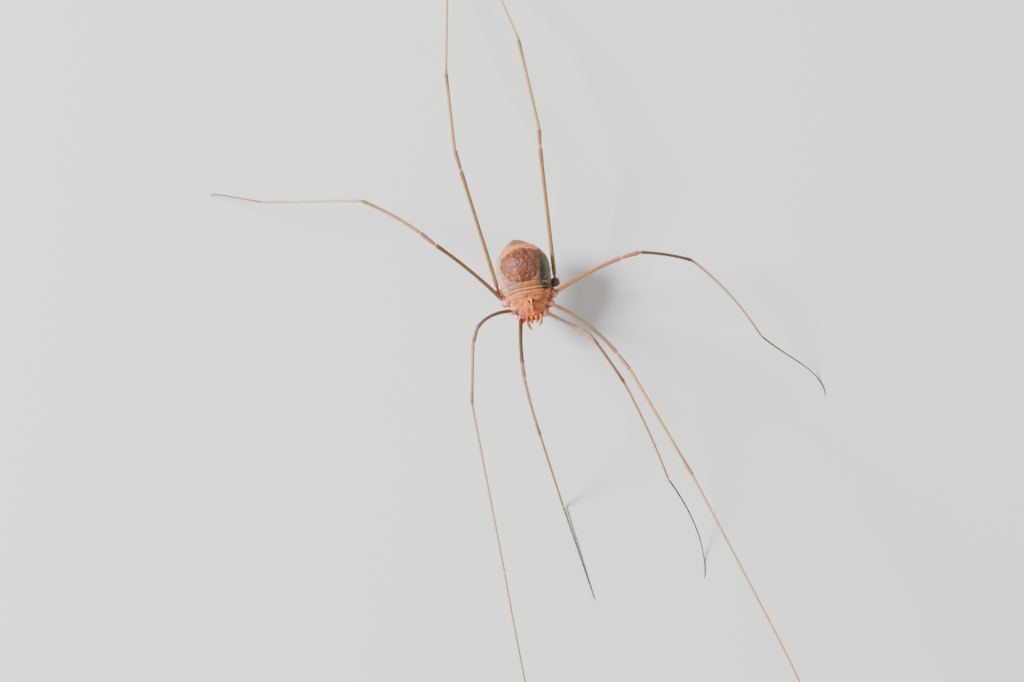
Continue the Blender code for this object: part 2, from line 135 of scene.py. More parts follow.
# Heights between which each pattern of the body fades in.
BACK_LEVELS = (5.8, 6.8)
CARAPACE_LEVELS = (5.5, 6.2)
FURROW_LEVELS = (5.8, 6.4)
MARK_LEVELS = (5.9, 6.4)
CREST_LEVELS = (7.50, 7.62)
SADDLE_LEVELS = (7.2, 7.4)
RIDGE_LEVELS = (6.8, 7.4)
GROOVE_LEVELS = (6.4, 7.0)
TAIL_LEVELS = (5.7, 6.2)
FOLD_STARTS = (5.0, 5.6)
# Heights between which the flanks, their folds and what lies on the underside fade out.
FLANK_LEVELS = (6.2, 6.8)
FOLD_ENDS = (6.9, 7.5)
BELLY_RELIEF_LEVELS = (4.9, 5.7)
BELLY_LEVELS = (4.9, 5.6)
PROSOMA_UNDERSIDE_LEVELS = (5.0, 5.6)
COXA_UNDERSIDE_LEVELS = (4.9, 5.3)
# Bright ridges where the front plates end, with the strength of each.
PLATE_RIDGES = ((-2.06, 0.55), (-1.70, 0.75), (-1.38, 0.75))

# Borders of the saddle and of the stripe along it, as places along Y with X.
SADDLE_RIGHT_OF_BACK = (
    (-0.78, -0.90), (-0.30, -1.80), (0.29, -2.16), (0.90, -2.34),
    (1.45, -2.36), (1.94, -2.08), (2.42, -1.37), (2.66, -0.70),
)
SADDLE_LEFT_OF_BACK = (
    (-0.85, 0.40), (-0.41, 0.97), (0.11, 1.45), (0.69, 1.65),
    (1.37, 1.74), (2.13, 1.76), (2.45, 1.20), (2.62, 0.50),
)
STRIPE_RIGHT_OF_BACK = (
    (-0.75, -0.66), (-0.27, -0.64), (0.17, -0.75), (0.68, -0.88), (2.28, -0.85), (2.72, -0.60),
)
STRIPE_LEFT_OF_BACK = (
    (-0.85, 0.40), (0.20, 0.31), (0.73, 0.46), (1.96, 0.55), (2.50, 0.45), (2.74, 0.30),
)

# Where the flanks begin, on both sides of the back.
FLANK_RIGHT_OF_BACK = (
    (-2.0, -1.75), (-1.0, -2.10), (0.0, -2.38), (1.0, -2.52), (2.0, -2.25), (3.0, -1.75), (3.8, -1.30),
)
FLANK_LEFT_OF_BACK = (
    (-1.9, 1.62), (-1.2, 1.30), (-0.5, 1.35), (0.2, 1.50), (1.0, 1.70), (2.0, 1.78), (2.8, 1.66), (3.6, 1.20),
)
SADDLE_FRONT = -0.78
# Places between which the saddle and its stripe fade out, and the softness of their side borders.
SADDLE_REAR = (2.66, 2.78)
STRIPE_REAR = (2.70, 2.84)
SADDLE_SOFTNESS = 0.06
STRIPE_SOFTNESS = 0.04

# Grains of the body, how strongly its relief is painted as shade, paler on top and darker in the hollows, and
# the wrinkles of the saddle.
GRAIN_SPACING = 0.21
RELIEF_SHADING = 5.0
WRINKLE_WIDTH = 0.17
WRINKLE_DEPTH = 0.040

# Furrows of the carapace on the left side, as two ends and a depth.
CARAPACE_FURROWS = (
    (Vector((0.30, -2.26)), Vector((1.95, -2.10)), 0.050),
    (Vector((0.24, -3.05)), Vector((0.34, -3.85)), 0.055),
    (Vector((0.70, -2.78)), Vector((1.48, -3.18)), 0.060),
    (Vector((1.32, -2.40)), Vector((1.90, -2.72)), 0.045),
)
FURROW_WIDTH = 0.12
DEEPEST_FURROW = 0.065
FURROW_WANDER = 0.16

# Marks of the carapace, as middle, half sizes, whether pale, and strength.
CARAPACE_MARKS = (
    (Vector((0.60, -2.70)), (0.30, 0.20), False, 0.60),
    (Vector((1.05, -2.58)), (0.36, 0.15), False, 0.60),
    (Vector((1.30, -2.92)), (0.24, 0.15), True, 0.75),
    (Vector((1.00, -3.16)), (0.26, 0.13), True, 0.70),
    (Vector((0.22, -3.06)), (0.12, 0.18), False, 0.55),
    (Vector((0.52, -3.40)), (0.20, 0.26), False, 0.60),
    (Vector((-0.10, -3.26)), (0.12, 0.26), True, 0.65),
    (Vector((0.30, -3.62)), (0.10, 0.20), True, 0.55),
    (Vector((-0.40, -3.52)), (0.07, 0.28), False, 0.60),
    (Vector((-0.25, -2.02)), (0.70, 0.06), False, 0.50),
    (Vector((-1.25, -3.08)), (0.24, 0.22), True, 0.45),
    (Vector((-1.40, -2.42)), (0.30, 0.08), False, 0.35),
    (Vector((-0.70, -2.90)), (0.26, 0.30), True, 0.35),
    (Vector((-0.95, -3.42)), (0.10, 0.30), False, 0.45),
)

# Coxa barrel: share of its length and radius. Trochanter ball: distance past its middle and radius.
COXA_BARREL = ((0.0, 0.26), (0.10, 0.38), (0.30, 0.46), (0.55, 0.49), (0.72, 0.47))
TROCHANTER_BALL = (
    (-0.48, 0.41), (-0.38, 0.41), (-0.24, 0.46), (-0.10, 0.50), (0.02, 0.51), (0.16, 0.49), (0.30, 0.41),
    (0.40, 0.30), (0.46, 0.15),
)
# A rounded shoulder rises above each coxa.
SHOULDER_SHARE = 0.60
SHOULDER_RISE = 0.10
SHOULDER_RADIUS = 0.40

# Soft skin between neighbouring coxae: how far in from the balls, its radius, and how far its painted shade
# spreads.
WEB_INWARD = 0.26
WEB_RADIUS = 0.38
WEB_SHADE_SPREAD = 0.10
# How far the painted shade on the left hind ball spreads.
BALL_SHADE_SPREAD = 0.9

# The ball of the right front leg is drawn out ahead, and the left one a little.
LONG_BALLS = {
    (1, "right"): (Vector((0.02, -0.30, 0.0)), (0.38, 0.42, 0.38)),
    (1, "left"): (Vector((0.0, -0.12, 0.05)), (0.44, 0.42, 0.40)),
}

# Lobes of the palp bases and the lip under the front of the carapace, as middle and half sizes.
FRONT_LOBES = (
    (Vector((0.48, -3.66, 5.62)), (0.34, 0.42, 0.42)),
    (Vector((-0.48, -3.66, 5.62)), (0.34, 0.42, 0.42)),
    (Vector((0.0, -3.90, 5.66)), (0.30, 0.46, 0.36)),
    (Vector((0.46, -3.98, 5.40)), (0.30, 0.40, 0.36)),
    (Vector((-0.46, -3.98, 5.40)), (0.30, 0.40, 0.36)),
    (Vector((0.0, -3.05, 6.90)), (0.34, 0.52, 0.22)),
    (Vector((0.94, -2.94, 6.36)), (0.34, 0.30, 0.34)),
    (Vector((-0.94, -2.94, 6.36)), (0.34, 0.30, 0.34)),
)

EYE_HILL_SIZE = (0.23, 0.38, 0.46)
EYE_RADIUS = 0.145
EYE_SPOT = Vector((0.205, -2.72, 7.60))
LENS_STRETCH = (0.94, 1.06, 1.0)
LENS_CUT = 0.085
SEAT_STEP = 0.015
SEAT_DEPTH = 0.03
CREST_WIDTH = 0.062
CREST_LENGTH = (0.13, 0.22)


def srgb(red, green, blue):
    """A colour given as it is seen on a screen, in linear values."""
    values = []
    for level in (red, green, blue):
        level /= 255
        values.append(level / 12.92 if level <= 0.04045 else ((level + 0.055) / 1.055) ** 2.4)
    return Vector(values)


# Pigments of the body.
LOBE_ORANGE = srgb(150, 78, 34)
LOBE_TAN = srgb(174, 98, 46)
LOBE_BROWN = srgb(132, 80, 54)
LOBE_PURPLE = srgb(126, 90, 70)
STRIPE_RED = srgb(116, 58, 32)
STRIPE_BROWN = srgb(97, 51, 34)
STRIPE_EDGE_DARK = srgb(70, 36, 24)
STRIPE_EDGE_PALE = srgb(232, 170, 116)
SHOULDER_ORANGE = srgb(208, 122, 66)
FLANK_WHITE = srgb(202, 160, 124)
FLANK_TAN = srgb(176, 132, 92)
# Painted shade on the animal's left flank, dark and going olive outwards with a painted green reflection.
FLANK_PAINTED_SHADE = srgb(56, 40, 14)
FLANK_SHADE_GREEN_REFLECTION = srgb(74, 66, 22)
BAND_LAVENDER = srgb(170, 122, 98)
BAND_ORANGE = srgb(174, 108, 62)
BAND_GRAY = srgb(130, 98, 72)
RIDGE_ORANGE = srgb(224, 140, 80)
CARAPACE_ORANGE = srgb(228, 124, 66)
CARAPACE_RED = srgb(192, 98, 52)
FURROW_BROWN = srgb(150, 72, 40)
TAIL_PURPLE = srgb(98, 72, 66)
TAIL_DARK = srgb(62, 40, 38)
CREST_CREAM = srgb(226, 200, 150)
COXA_ORANGE = srgb(214, 128, 84)
# Pink of the coxae and balls, also used as a painted sheen on the tops of the balls.
BALL_PINK_AND_SHEEN = srgb(226, 160, 128)
BALL_ORANGE = srgb(208, 124, 82)
BALL_BROWN = srgb(126, 60, 36)
# Painted shade for the ball of the left hind leg.
BALL_SHADE = srgb(92, 66, 42)
BELLY_PALE = srgb(206, 182, 150)
BELLY_BROWN = srgb(150, 112, 82)

# Pigments of the legs.
GOLDEN_BROWN = srgb(150, 108, 66)
ORANGE_BROWN = srgb(158, 98, 58)
GRAY_BROWN = srgb(112, 86, 64)
DARK_BROWN = srgb(84, 61, 38)
PINK_BROWN = srgb(154, 102, 76)
GOLDEN_TAN = srgb(176, 130, 84)
ORANGE_TAN = srgb(182, 126, 86)
PINK_TAN = srgb(184, 144, 122)
STRAW = srgb(192, 160, 122)
UMBER = srgb(76, 54, 44)
DARK_GOLD = srgb(108, 76, 36)
RUSSET = srgb(142, 92, 50)
ROSE_BROWN = srgb(160, 116, 90)
NEAR_BLACK = srgb(40, 32, 30)

# Pigment of each segment of each leg, and of the tip of its tarsus.
LEG_PIGMENTS = {
    (1, "right"): (DARK_BROWN, PINK_BROWN, PINK_TAN, GOLDEN_TAN, UMBER, NEAR_BLACK),
    (1, "left"): (GRAY_BROWN, PINK_BROWN, ROSE_BROWN, GOLDEN_TAN, UMBER, NEAR_BLACK),
    (2, "right"): (DARK_BROWN, PINK_BROWN, GOLDEN_TAN, PINK_TAN, GOLDEN_TAN, UMBER),
    (2, "left"): (GRAY_BROWN, PINK_BROWN, ORANGE_TAN, PINK_TAN, GOLDEN_TAN, UMBER),
    (3, "right"): (DARK_GOLD, PINK_BROWN, GOLDEN_BROWN, STRAW, ORANGE_BROWN, UMBER),
    (3, "left"): (RUSSET, PINK_BROWN, GRAY_BROWN, PINK_TAN, DARK_BROWN, NEAR_BLACK),
    (4, "right"): (GOLDEN_BROWN, PINK_BROWN, GOLDEN_TAN, STRAW, GOLDEN_TAN, UMBER),
    (4, "left"): (GOLDEN_BROWN, PINK_BROWN, GOLDEN_TAN, STRAW, GOLDEN_TAN, UMBER),
}
JOINT_PALE = srgb(204, 168, 136)

# Real radius along each kind of segment, as pairs of share of its length and radius.
LEG_PROFILES = {
    "femur": (
        (0.0, 0.11), (0.045, 0.13), (0.06, 0.205), (0.10, 0.222), (0.45, 0.19), (0.82, 0.19), (0.95, 0.225),
        (0.985, 0.21), (1.0, 0.13),
    ),
    "patella": ((0.0, 0.13), (0.10, 0.18), (0.35, 0.195), (0.75, 0.222), (0.93, 0.215), (1.0, 0.13)),
    "tibia": (
        (0.0, 0.13), (0.03, 0.18), (0.10, 0.165), (0.55, 0.16), (0.86, 0.165), (0.965, 0.19), (0.99, 0.175),
        (1.0, 0.11),
    ),
    "metatarsus": (
        (0.0, 0.10), (0.015, 0.145), (0.05, 0.13), (0.60, 0.115), (0.97, 0.10), (0.99, 0.105), (1.0, 0.08),
    ),
    "tarsus": ((0.0, 0.07), (0.02, 0.092), (0.40, 0.076), (0.85, 0.052), (0.97, 0.040), (1.0, 0.012)),
}
# The long second pair is a little thinner than the others.
PAIR_THICKNESS = {1: 1.0, 2: 0.94, 3: 1.0, 4: 1.0}
LEG_BEVEL = 3
LEG_STEP = 0.22
LIMB_PATH_STEP = 0.10
TARSUS_PATH_STEP = 0.05
MOUTHPART_PATH_STEP = 0.04
KNEE_REACH = 0.13
KNEE_NECK = 0.72

# Ringed articles of the tarsus: share along one and its swelling. The neck is also darker.
ARTICLE_LENGTH = 0.46
ARTICLE_NECK = 0.74
ARTICLE_STATIONS = ((0.0, ARTICLE_NECK), (0.14, 0.92), (0.80, 1.0), (0.93, 0.96))
ARTICLE_SHADE = 0.55

# False joints of the metatarsus, pinched and dark, from this share of its length outwards.
FALSE_JOINTS_START = 0.35
FALSE_JOINT_SPACING = 1.30
FALSE_JOINT_WIDTH = 0.05
FALSE_JOINT_PINCH = 0.88
FALSE_JOINT_SHADE = 0.6

# Height of a foot's middle in the solids, and the height below which a foot is let down.
SOLID_FOOT_HEIGHT = 0.09
FOOT_EASING = 0.50

# Shine of the legs and of the mouthparts, and the least that marks the skin as a limb's.
LEG_SHINE = 0.5
MOUTHPART_SHINE = 0.75
LIMB_SHINE = 0.6

# Setae: spacing along a leg, clearance over the floor, and how far the trochanter's ball hides them.
SETA_SPACING = 0.045
SETA_CLEARANCE = 0.012
SOCKET_REACH = 0.5
# Denticles near the body and how they change into setae outwards, with roots sunk into the leg.
DENTICLE_LENGTH = 0.08
SETA_GROWTH = 0.07
DENTICLE_HALF_WIDTH = 0.022
SETA_THINNING = 0.009
SETA_ROOT = 0.88
CLAW_LENGTH = 0.06
# Setae on the body: their number, length, half width and how deep their roots are.
BODY_SETAE = 900
BODY_SETA_LENGTH = 0.10
BODY_SETA_HALF_WIDTH = 0.014
BODY_SETA_DEPTH = 0.02
# Size of the patch of the unwrap that each seta has.
TUFT_PATCH = 0.003
SETA_SHINE = 0.4


def smoothstep(start, end, value):
    """0 before the start and 1 past the end, with a soft rise between them."""
    share = min(1.0, max(0.0, (value - start) / (end - start)))
    return share * share * (3 - 2 * share)


def limited(value):
    return min(1.0, max(0.0, value))


def past(border, softness, value):
    """0 short of a border and 1 past it, with a soft edge on both sides of it."""
    return smoothstep(border - softness, border + softness, value)


def bell(distance, width):
    """1 at no distance, and close to 0 at twice the width."""
    return math.exp(-((distance / width) ** 2))


def on_curve(before, start, end, after, t):
    """The value at a share t of the way from start to end, on a smooth curve through all four."""
    return (
        start * (1 - 3 * t**2 + 2 * t**3) + end * (3 * t**2 - 2 * t**3)
        + (end - before) / 2 * (t - 2 * t**2 + t**3) + (after - start) / 2 * (t**3 - t**2)
    )


def between(stations, place):
    """The value at a place, read along straight lines between (place, value) stations."""
    for (place_a, value_a), (place_b, value_b) in zip(stations, stations[1:]):
        if place <= place_b:
            share = (place - place_a) / (place_b - place_a)
            return value_a + (value_b - value_a) * min(1.0, max(0.0, share))
    return stations[-1][1]


def mirrored(point, side):
    """A point given for the left side, on the side that is asked for."""
    return Vector((point.x if side == "left" else -point.x, point.y, point.z))


def box_middle(node):
    low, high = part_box(node)
    return (low + high) / 2


hill = box_middle("ocularium")
BODY_PLACE = Vector((hill.x, hill.y - EYE_HILL.y * MM, 0))


def to_body(point):
    """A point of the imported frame, in millimetres round the body."""
    return (Vector(point) - BODY_PLACE) / MM


def solid_rings(node, sides, near):
    """Middle and radius of each ring of a limb's solid, in order from the end that is near a point."""
    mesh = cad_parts[node].data
    spots = {tuple(round(c, 4) for c in to_body(vert.co)) for vert in mesh.vertices}
    spots = [Vector(spot) for spot in sorted(spots)]
    rings = []
    here = near
    while spots:
        spots.sort(key=lambda spot: (spot - here).length_squared)
        ring, spots = spots[:sides], spots[sides:]
        here = sum(ring, Vector()) / len(ring)
        rings.append((here, max((spot - here).length for spot in ring)))
    return rings


def deselect_all():
    bpy.ops.object.select_all(action="DESELECT")


def make_active(piece):
    deselect_all()
    piece.select_set(True)
    bpy.context.view_layer.objects.active = piece


def apply_modifier(piece, kind, **settings):
    make_active(piece)
    modifier = piece.modifiers.new(kind.lower(), kind)
    for name, value in settings.items():
        setattr(modifier, name, value)
    bpy.ops.object.modifier_apply(modifier=modifier.name)


def settle(piece):
    """Scales a piece from millimetres to metres and moves it on to the solids."""
    piece.matrix_world = Matrix.Translation(BODY_PLACE) @ Matrix.Scale(MM, 4) @ piece.matrix_world
    make_active(piece)
    bpy.ops.object.transform_apply(location=True, rotation=True, scale=True)


def finish_piece(piece, material, nodes=()):
    """Brings a piece on to the solids, with its material, and in place of the nodes that it covers."""
    settle(piece)
    piece.data.materials.clear()
    piece.data.materials.append(material)
    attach(piece, "root")
    if nodes:
        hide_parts(*nodes)
    return piece


def pulled_rings(name, stations, sides):
    """A closed body pulled out along Y. A station is its place, half width, middle and half height."""
    place, half_width, middle, half_height = stations[0]
    deselect_all()
    bpy.ops.mesh.primitive_circle_add(
        vertices=sides,
        radius=1,
        fill_type="NGON",
        location=(0, place, middle),
        rotation=(math.radians(90), 0, 0),
    )
    piece = bpy.context.object
    piece.name = name
    bpy.ops.object.mode_set(mode="EDIT")
    bpy.ops.mesh.select_all(action="SELECT")
    bpy.ops.transform.resize(value=(half_width, 1, half_height), center_override=(0, place, middle))
    for onward, next_width, next_middle, next_height in stations[1:]:
        step = (0, onward - place, next_middle - middle)
        bpy.ops.mesh.extrude_region_move(TRANSFORM_OT_translate={"value": step})
        growth = (next_width / half_width, 1, next_height / half_height)
        bpy.ops.transform.resize(value=growth, center_override=(0, onward, next_middle))
        place, half_width, middle, half_height = onward, next_width, next_middle, next_height
    bpy.ops.mesh.select_all(action="SELECT")
    bpy.ops.mesh.normals_make_consistent(inside=False)
    bpy.ops.object.mode_set(mode="OBJECT")
    bpy.ops.object.transform_apply(location=True, rotation=True, scale=True)
    return piece


def swept_tube(name, stations, bevel=3):
    """A closed tube along (point, radius) stations, made as a bevelled curve and turned into a mesh."""
    curve = bpy.data.curves.new(name, "CURVE")
    curve.dimensions = "3D"
    curve.bevel_depth = 1
    curve.bevel_resolution = bevel
    curve.use_fill_caps = True
    spline = curve.splines.new("POLY")
    spline.points.add(len(stations) - 1)
    for point, (place, radius) in zip(spline.points, stations):
        point.co = (*place, 1)
        point.radius = radius
    piece = bpy.data.objects.new(name, curve)
    bpy.context.collection.objects.link(piece)
    make_active(piece)
    bpy.ops.object.convert(target="MESH")
    piece = bpy.context.object
    bpy.ops.object.mode_set(mode="EDIT")
    bpy.ops.mesh.select_all(action="SELECT")
    bpy.ops.mesh.remove_doubles(threshold=0.0005)
    bpy.ops.mesh.normals_make_consistent(inside=False)
    bpy.ops.object.mode_set(mode="OBJECT")
    piece.data.materials.clear()
    return piece


def path_lengths(path):
    """Distance along a path to each of its points."""
    marks = [0.0]
    for a, b in zip(path, path[1:]):
        marks.append(marks[-1] + (b - a).length)
    return marks


def curve_through(points, spacing):
    """Points at even steps on a smooth curve through the given ones."""
    fine = []
    last = len(points) - 1
    for i in range(last):
        around = points[max(i - 1, 0)], points[i], points[i + 1], points[min(i + 2, last)]
        fine += [on_curve(*around, k / FINE_STEPS) for k in range(FINE_STEPS)]
    fine.append(points[-1])
    marks = path_lengths(fine)
    count = max(2, round(marks[-1] / spacing))
    return [point_at(fine, marks, marks[-1] * i / count) for i in range(count + 1)]


def point_at(points, marks, distance):
    """The point at a distance along a path, whose lengths are its marks."""
    for i in range(1, len(points)):
        if distance <= marks[i] or i == len(points) - 1:
            span = marks[i] - marks[i - 1]
            share = (distance - marks[i - 1]) / span if span else 0
            return points[i - 1].lerp(points[i], min(1.0, max(0.0, share)))


def paint(piece, colours, gloss):
    """Stores the pigment and the gloss of each vertex for the cuticle's material."""
    attributes = piece.data.attributes
    attributes.new("pigment", "FLOAT_COLOR", "POINT")
    attributes.new("shine", "FLOAT", "POINT")
    flat = [max(0.0, level) for colour in colours for level in (*colour, 1)]
    attributes["pigment"].data.foreach_set("color", flat)
    attributes["shine"].data.foreach_set("value", gloss)


# Materials.

def add_node(tree, kind, **settings):
    """A new node, with each setting given to its socket or else to the node itself."""
    node = tree.nodes.new(kind)
    for name, value in settings.items():
        if name in node.inputs:
            node.inputs[name].default_value = value
        else:
            setattr(node, name, value)
    return node


def stretch(tree, source, target, low, high, start=0.0, end=1.0):
    """Links a value to a socket so that start to end becomes low to high."""
    node = tree.nodes.new("ShaderNodeMapRange")
    for name, value in (("From Min", start), ("From Max", end), ("To Min", low), ("To Max", high)):
        node.inputs[name].default_value = value
    tree.links.new(source, node.inputs["Value"])
    tree.links.new(node.outputs["Result"], target)


def cuticle(name, grain, grain_height, mottling):
    """Satin cuticle whose pigment and shine come from the piece, mottled and finely grained."""
    material = bpy.data.materials.new(name)
    material.use_nodes = True
    tree = material.node_tree
    shader = tree.nodes["Principled BSDF"]
    pigment = add_node(tree, "ShaderNodeAttribute", attribute_name="pigment")
    shine = add_node(tree, "ShaderNodeAttribute", attribute_name="shine")
    place = add_node(tree, "ShaderNodeTexCoord")

    blotches = add_node(tree, "ShaderNodeTexNoise", Scale=grain * 0.45, Detail=4.0, Roughness=0.6)
    tree.links.new(place.outputs["Object"], blotches.inputs["Vector"])
    tinted = add_node(tree, "ShaderNodeVectorMath", operation="SCALE")
    tree.links.new(pigment.outputs["Color"], tinted.inputs[0])
    stretch(tree, blotches.outputs["Fac"], tinted.inputs["Scale"], 1 - mottling, 1 + mottling, 0.3, 0.7)
    tree.links.new(tinted.outputs["Vector"], shader.inputs["Base Color"])

    grains = add_node(tree, "ShaderNodeTexVoronoi", Scale=grain * 1.6)
    tree.links.new(place.outputs["Object"], grains.inputs["Vector"])
    bump = add_node(tree, "ShaderNodeBump", Distance=grain_height * MM)
    tree.links.new(grains.outputs["Distance"], bump.inputs["Height"])
    tree.links.new(bump.outputs["Normal"], shader.inputs["Normal"])

    # A shinier place is smoother, less grained, and wet.
    stretch(tree, shine.outputs["Fac"], shader.inputs["Roughness"], 0.62, 0.16)
    stretch(tree, shine.outputs["Fac"], bump.inputs["Strength"], 1.0, 0.1)
    stretch(tree, shine.outputs["Fac"], shader.inputs["Coat Weight"], 0.0, 1.0, 0.7, 1.0)
    shader.inputs["Coat IOR"].default_value = 1.7
    shader.inputs["Coat Roughness"].default_value = 0.08
    shader.inputs["Specular IOR Level"].default_value = 0.5
    shader.inputs["Subsurface Weight"].default_value = 0.12
    shader.inputs["Subsurface Radius"].default_value = (1.0, 0.45, 0.25)
    shader.inputs["Subsurface Scale"].default_value = 0.25 * MM
    return material


def eye_black():
    """Wet black of the lenses, with a faint haze in it."""
    material = bpy.data.materials.new("eye_black")
    material.use_nodes = True
    tree = material.node_tree
    shader = tree.nodes["Principled BSDF"]
    place = add_node(tree, "ShaderNodeTexCoord")
    haze = add_node(tree, "ShaderNodeTexNoise", Scale=5000.0, Detail=2.0)
    tree.links.new(place.outputs["Object"], haze.inputs["Vector"])
    stretch(tree, haze.outputs["Fac"], shader.inputs["Base Color"], 0.003, 0.010)
    shader.inputs["Roughness"].default_value = 0.14
    shader.inputs["Specular IOR Level"].default_value = 0.35
    shader.inputs["Coat Weight"].default_value = 0.12
    shader.inputs["Coat Roughness"].default_value = 0.05
    return material


# The trunk.

def trunk_section(place):
    """Half width, top and bottom of the trunk at a place along it, on a smooth curve."""
    last = len(TRUNK) - 1
    index = max(i for i in range(last) if TRUNK[i][0] <= place or i == 0)
    around = [TRUNK[min(max(i, 0), last)] for i in range(index - 1, index + 3)]
    t = (place - around[1][0]) / (around[2][0] - around[1][0])
    return [on_curve(*values, t) for values in zip(*(section[1:] for section in around))]


def build_trunk():
    """The egg-shaped trunk, higher above its widest level than below it."""
    front = TRUNK[0][0]
    rear = TRUNK[-1][0]
    count = round((rear - front) / TRUNK_STEP)
    stations = []
    for i in range(count + 1):
        # Sections come closer together towards both ends.
        place = front + (rear - front) * (0.5 - 0.5 * math.cos(math.pi * i / count))
        half_width, top, bottom = trunk_section(place)
        stations.append((place, half_width, (top + bottom) / 2, (top - bottom) / 2))
    trunk = pulled_rings("trunk", stations, TRUNK_SIDES)
    for vert in trunk.data.vertices:
        place = min(rear, max(front, vert.co.y))
        half_width, top, bottom = trunk_section(place)
        middle = (top + bottom) / 2
        waist = bottom + (top - bottom) * WAIST
        level = (vert.co.z - middle) / ((top - bottom) / 2)
        reach = top - waist if level > 0 else waist - bottom
        vert.co.z = waist + level * reach
        rearward = max(0.0, (place - SWING_BEGINS) / (rear - SWING_BEGINS))
        vert.co.x += TRUNK_SHIFT * smoothstep(SHIFT_BEGINS, SHIFT_ENDS, place) + TAIL_SWING * rearward**3
    return trunk


def add_lobe(name, middle, size):
    """A rounded lobe, given by its middle and its half sizes, to be merged into the skin."""
    deselect_all()
    bpy.ops.mesh.primitive_uv_sphere_add(segments=32, ring_count=20, radius=1, location=middle)
    lobe = bpy.context.object
    lobe.name = name
    bpy.ops.transform.resize(value=size, center_override=middle)
    bpy.ops.object.transform_apply(location=True, rotation=True, scale=True)
    return lobe


def coxa_line(pair, side):
    """The root of a coxa's solid, and the middle of the ball at its end, which is its widest ring."""
    rings = solid_rings(f"leg{pair}_{side}_coxa", COXA_RING, COXA_CENTRE)
    return rings[0][0], max(rings, key=lambda ring: ring[1])[0]


def build_coxa(pair, side):
    """A coxa barrel with its raised shoulder, and the ball of its trochanter."""
    root, ball = coxa_line(pair, side)
    along = (ball - root).normalized()
    length = (ball - root).length
    stations = [(root + along * length * share, radius) for share, radius in COXA_BARREL]
    last = stations[-1][0]
    for past, radius in TROCHANTER_BALL:
        place = ball + along * past
        if (place - last).dot(along) > SHORTEST_STEP:
            stations.append((place, radius))
    shoulder = root.lerp(ball, SHOULDER_SHARE) + Vector((0, 0, SHOULDER_RISE))
    pieces = [
        swept_tube(f"coxa{pair}_{side}", stations, bevel=6),
        add_lobe(f"shoulder{pair}_{side}", shoulder, (SHOULDER_RADIUS,) * 3),
    ]
    if (pair, side) in LONG_BALLS:
        shift, size = LONG_BALLS[pair, side]
        pieces.append(add_lobe(f"ball{pair}_{side}", ball + shift, size))
    return pieces


def web_places():
    """Middles of the soft lobes that close the gaps between neighbouring coxae."""
    places = []
    for side in SIDES:
        for pair in PAIRS[:-1]:
            root, ball = coxa_line(pair, side)
            next_root, next_ball = coxa_line(pair + 1, side)
            places.append(((ball + next_ball) / 2).lerp((root + next_root) / 2, WEB_INWARD))
    return places


def distance_to_line(point, start, end):
    """Distance from a point to a stretch of line, and the share along it that is nearest."""
    along = end - start
    share = min(1.0, max(0.0, (point - start).dot(along) / along.length_squared))
    return (point - start - along * share).length, share


def prosoma_share(point):
    """1 on the prosoma and 0 on the opisthosoma, which meet on a line that leans back as it goes down."""
    border = PROSOMA_REAR + PROSOMA_LEAN * max(0.0, PROSOMA_TOP - point.z)
    return 1 - past(border, 0.03, point.y)


def furrow_depth(point):
    """How deep the carapace's furrows are at a point, from 0 to 1."""
    wander = Vector((noise.noise(point * 1.9), noise.noise(point * 1.9 + Vector((5, 2, 8)))))
    spot = Vector((abs(point.x), point.y)) + wander * FURROW_WANDER
    deepest = 0.0
    for start, end, depth in CARAPACE_FURROWS:
        away, share = distance_to_line(spot, start, end)
        fade = 1 - 0.5 * share
        deepest = max(deepest, depth / DEEPEST_FURROW * fade * bell(away, FURROW_WIDTH))
    return deepest


def granule(point, spacing):
    """Height of rounded grains set close together, from 0 between them to 1 on top of one."""
    nearest, following = noise.voronoi(point / spacing)[0][:2]
    return smoothstep(0.0, 0.45, following - nearest)


def wrinkle(point):
    """1 in the bottom of the crooked wrinkles of the saddle, falling to 0 between them."""
    bent = point + Vector((0.18, -0.12, 0.1)) * noise.noise(point * 3.1)
    first = bell(noise.noise(bent * 1.75), WRINKLE_WIDTH)
    second = bell(noise.noise(bent * 3.4 + Vector((3, 7, 1))), 1.5 * WRINKLE_WIDTH)
    return max(first, 0.7 * second)


def saddle_share(point):
    """1 on the dark saddle of the back, 0 off it."""
    wobble = 0.09 * noise.noise(point * 2.2) + 0.06 * noise.noise(point * 6.0)
    right = between(SADDLE_RIGHT_OF_BACK, point.y)
    left = between(SADDLE_LEFT_OF_BACK, point.y)
    inside = past(right, SADDLE_SOFTNESS, point.x + wobble)
    inside *= 1 - past(left, SADDLE_SOFTNESS, point.x + wobble)
    front = SADDLE_FRONT + 0.13 * noise.noise(Vector((point.x * 1.7, 3, 0)))
    ahead = past(front, 0.05, point.y)
    behind = 1 - smoothstep(*SADDLE_REAR, point.y + wobble)
    return inside * ahead * behind * smoothstep(*SADDLE_LEVELS, point.z)


def stripe_share(point):
    """1 on the dark stripe along the saddle, with its distance in from the nearer border."""
    wobble = 0.05 * noise.noise(point * 4.0) + 0.05 * math.sin(point.y * 4.4)
    from_right = point.x + wobble - between(STRIPE_RIGHT_OF_BACK, point.y)
    from_left = between(STRIPE_LEFT_OF_BACK, point.y) - point.x + 0.7 * wobble
    share = past(0, STRIPE_SOFTNESS, from_right) * past(0, STRIPE_SOFTNESS, from_left)
    return share * (1 - smoothstep(*STRIPE_REAR, point.y + wobble)), from_right, from_left


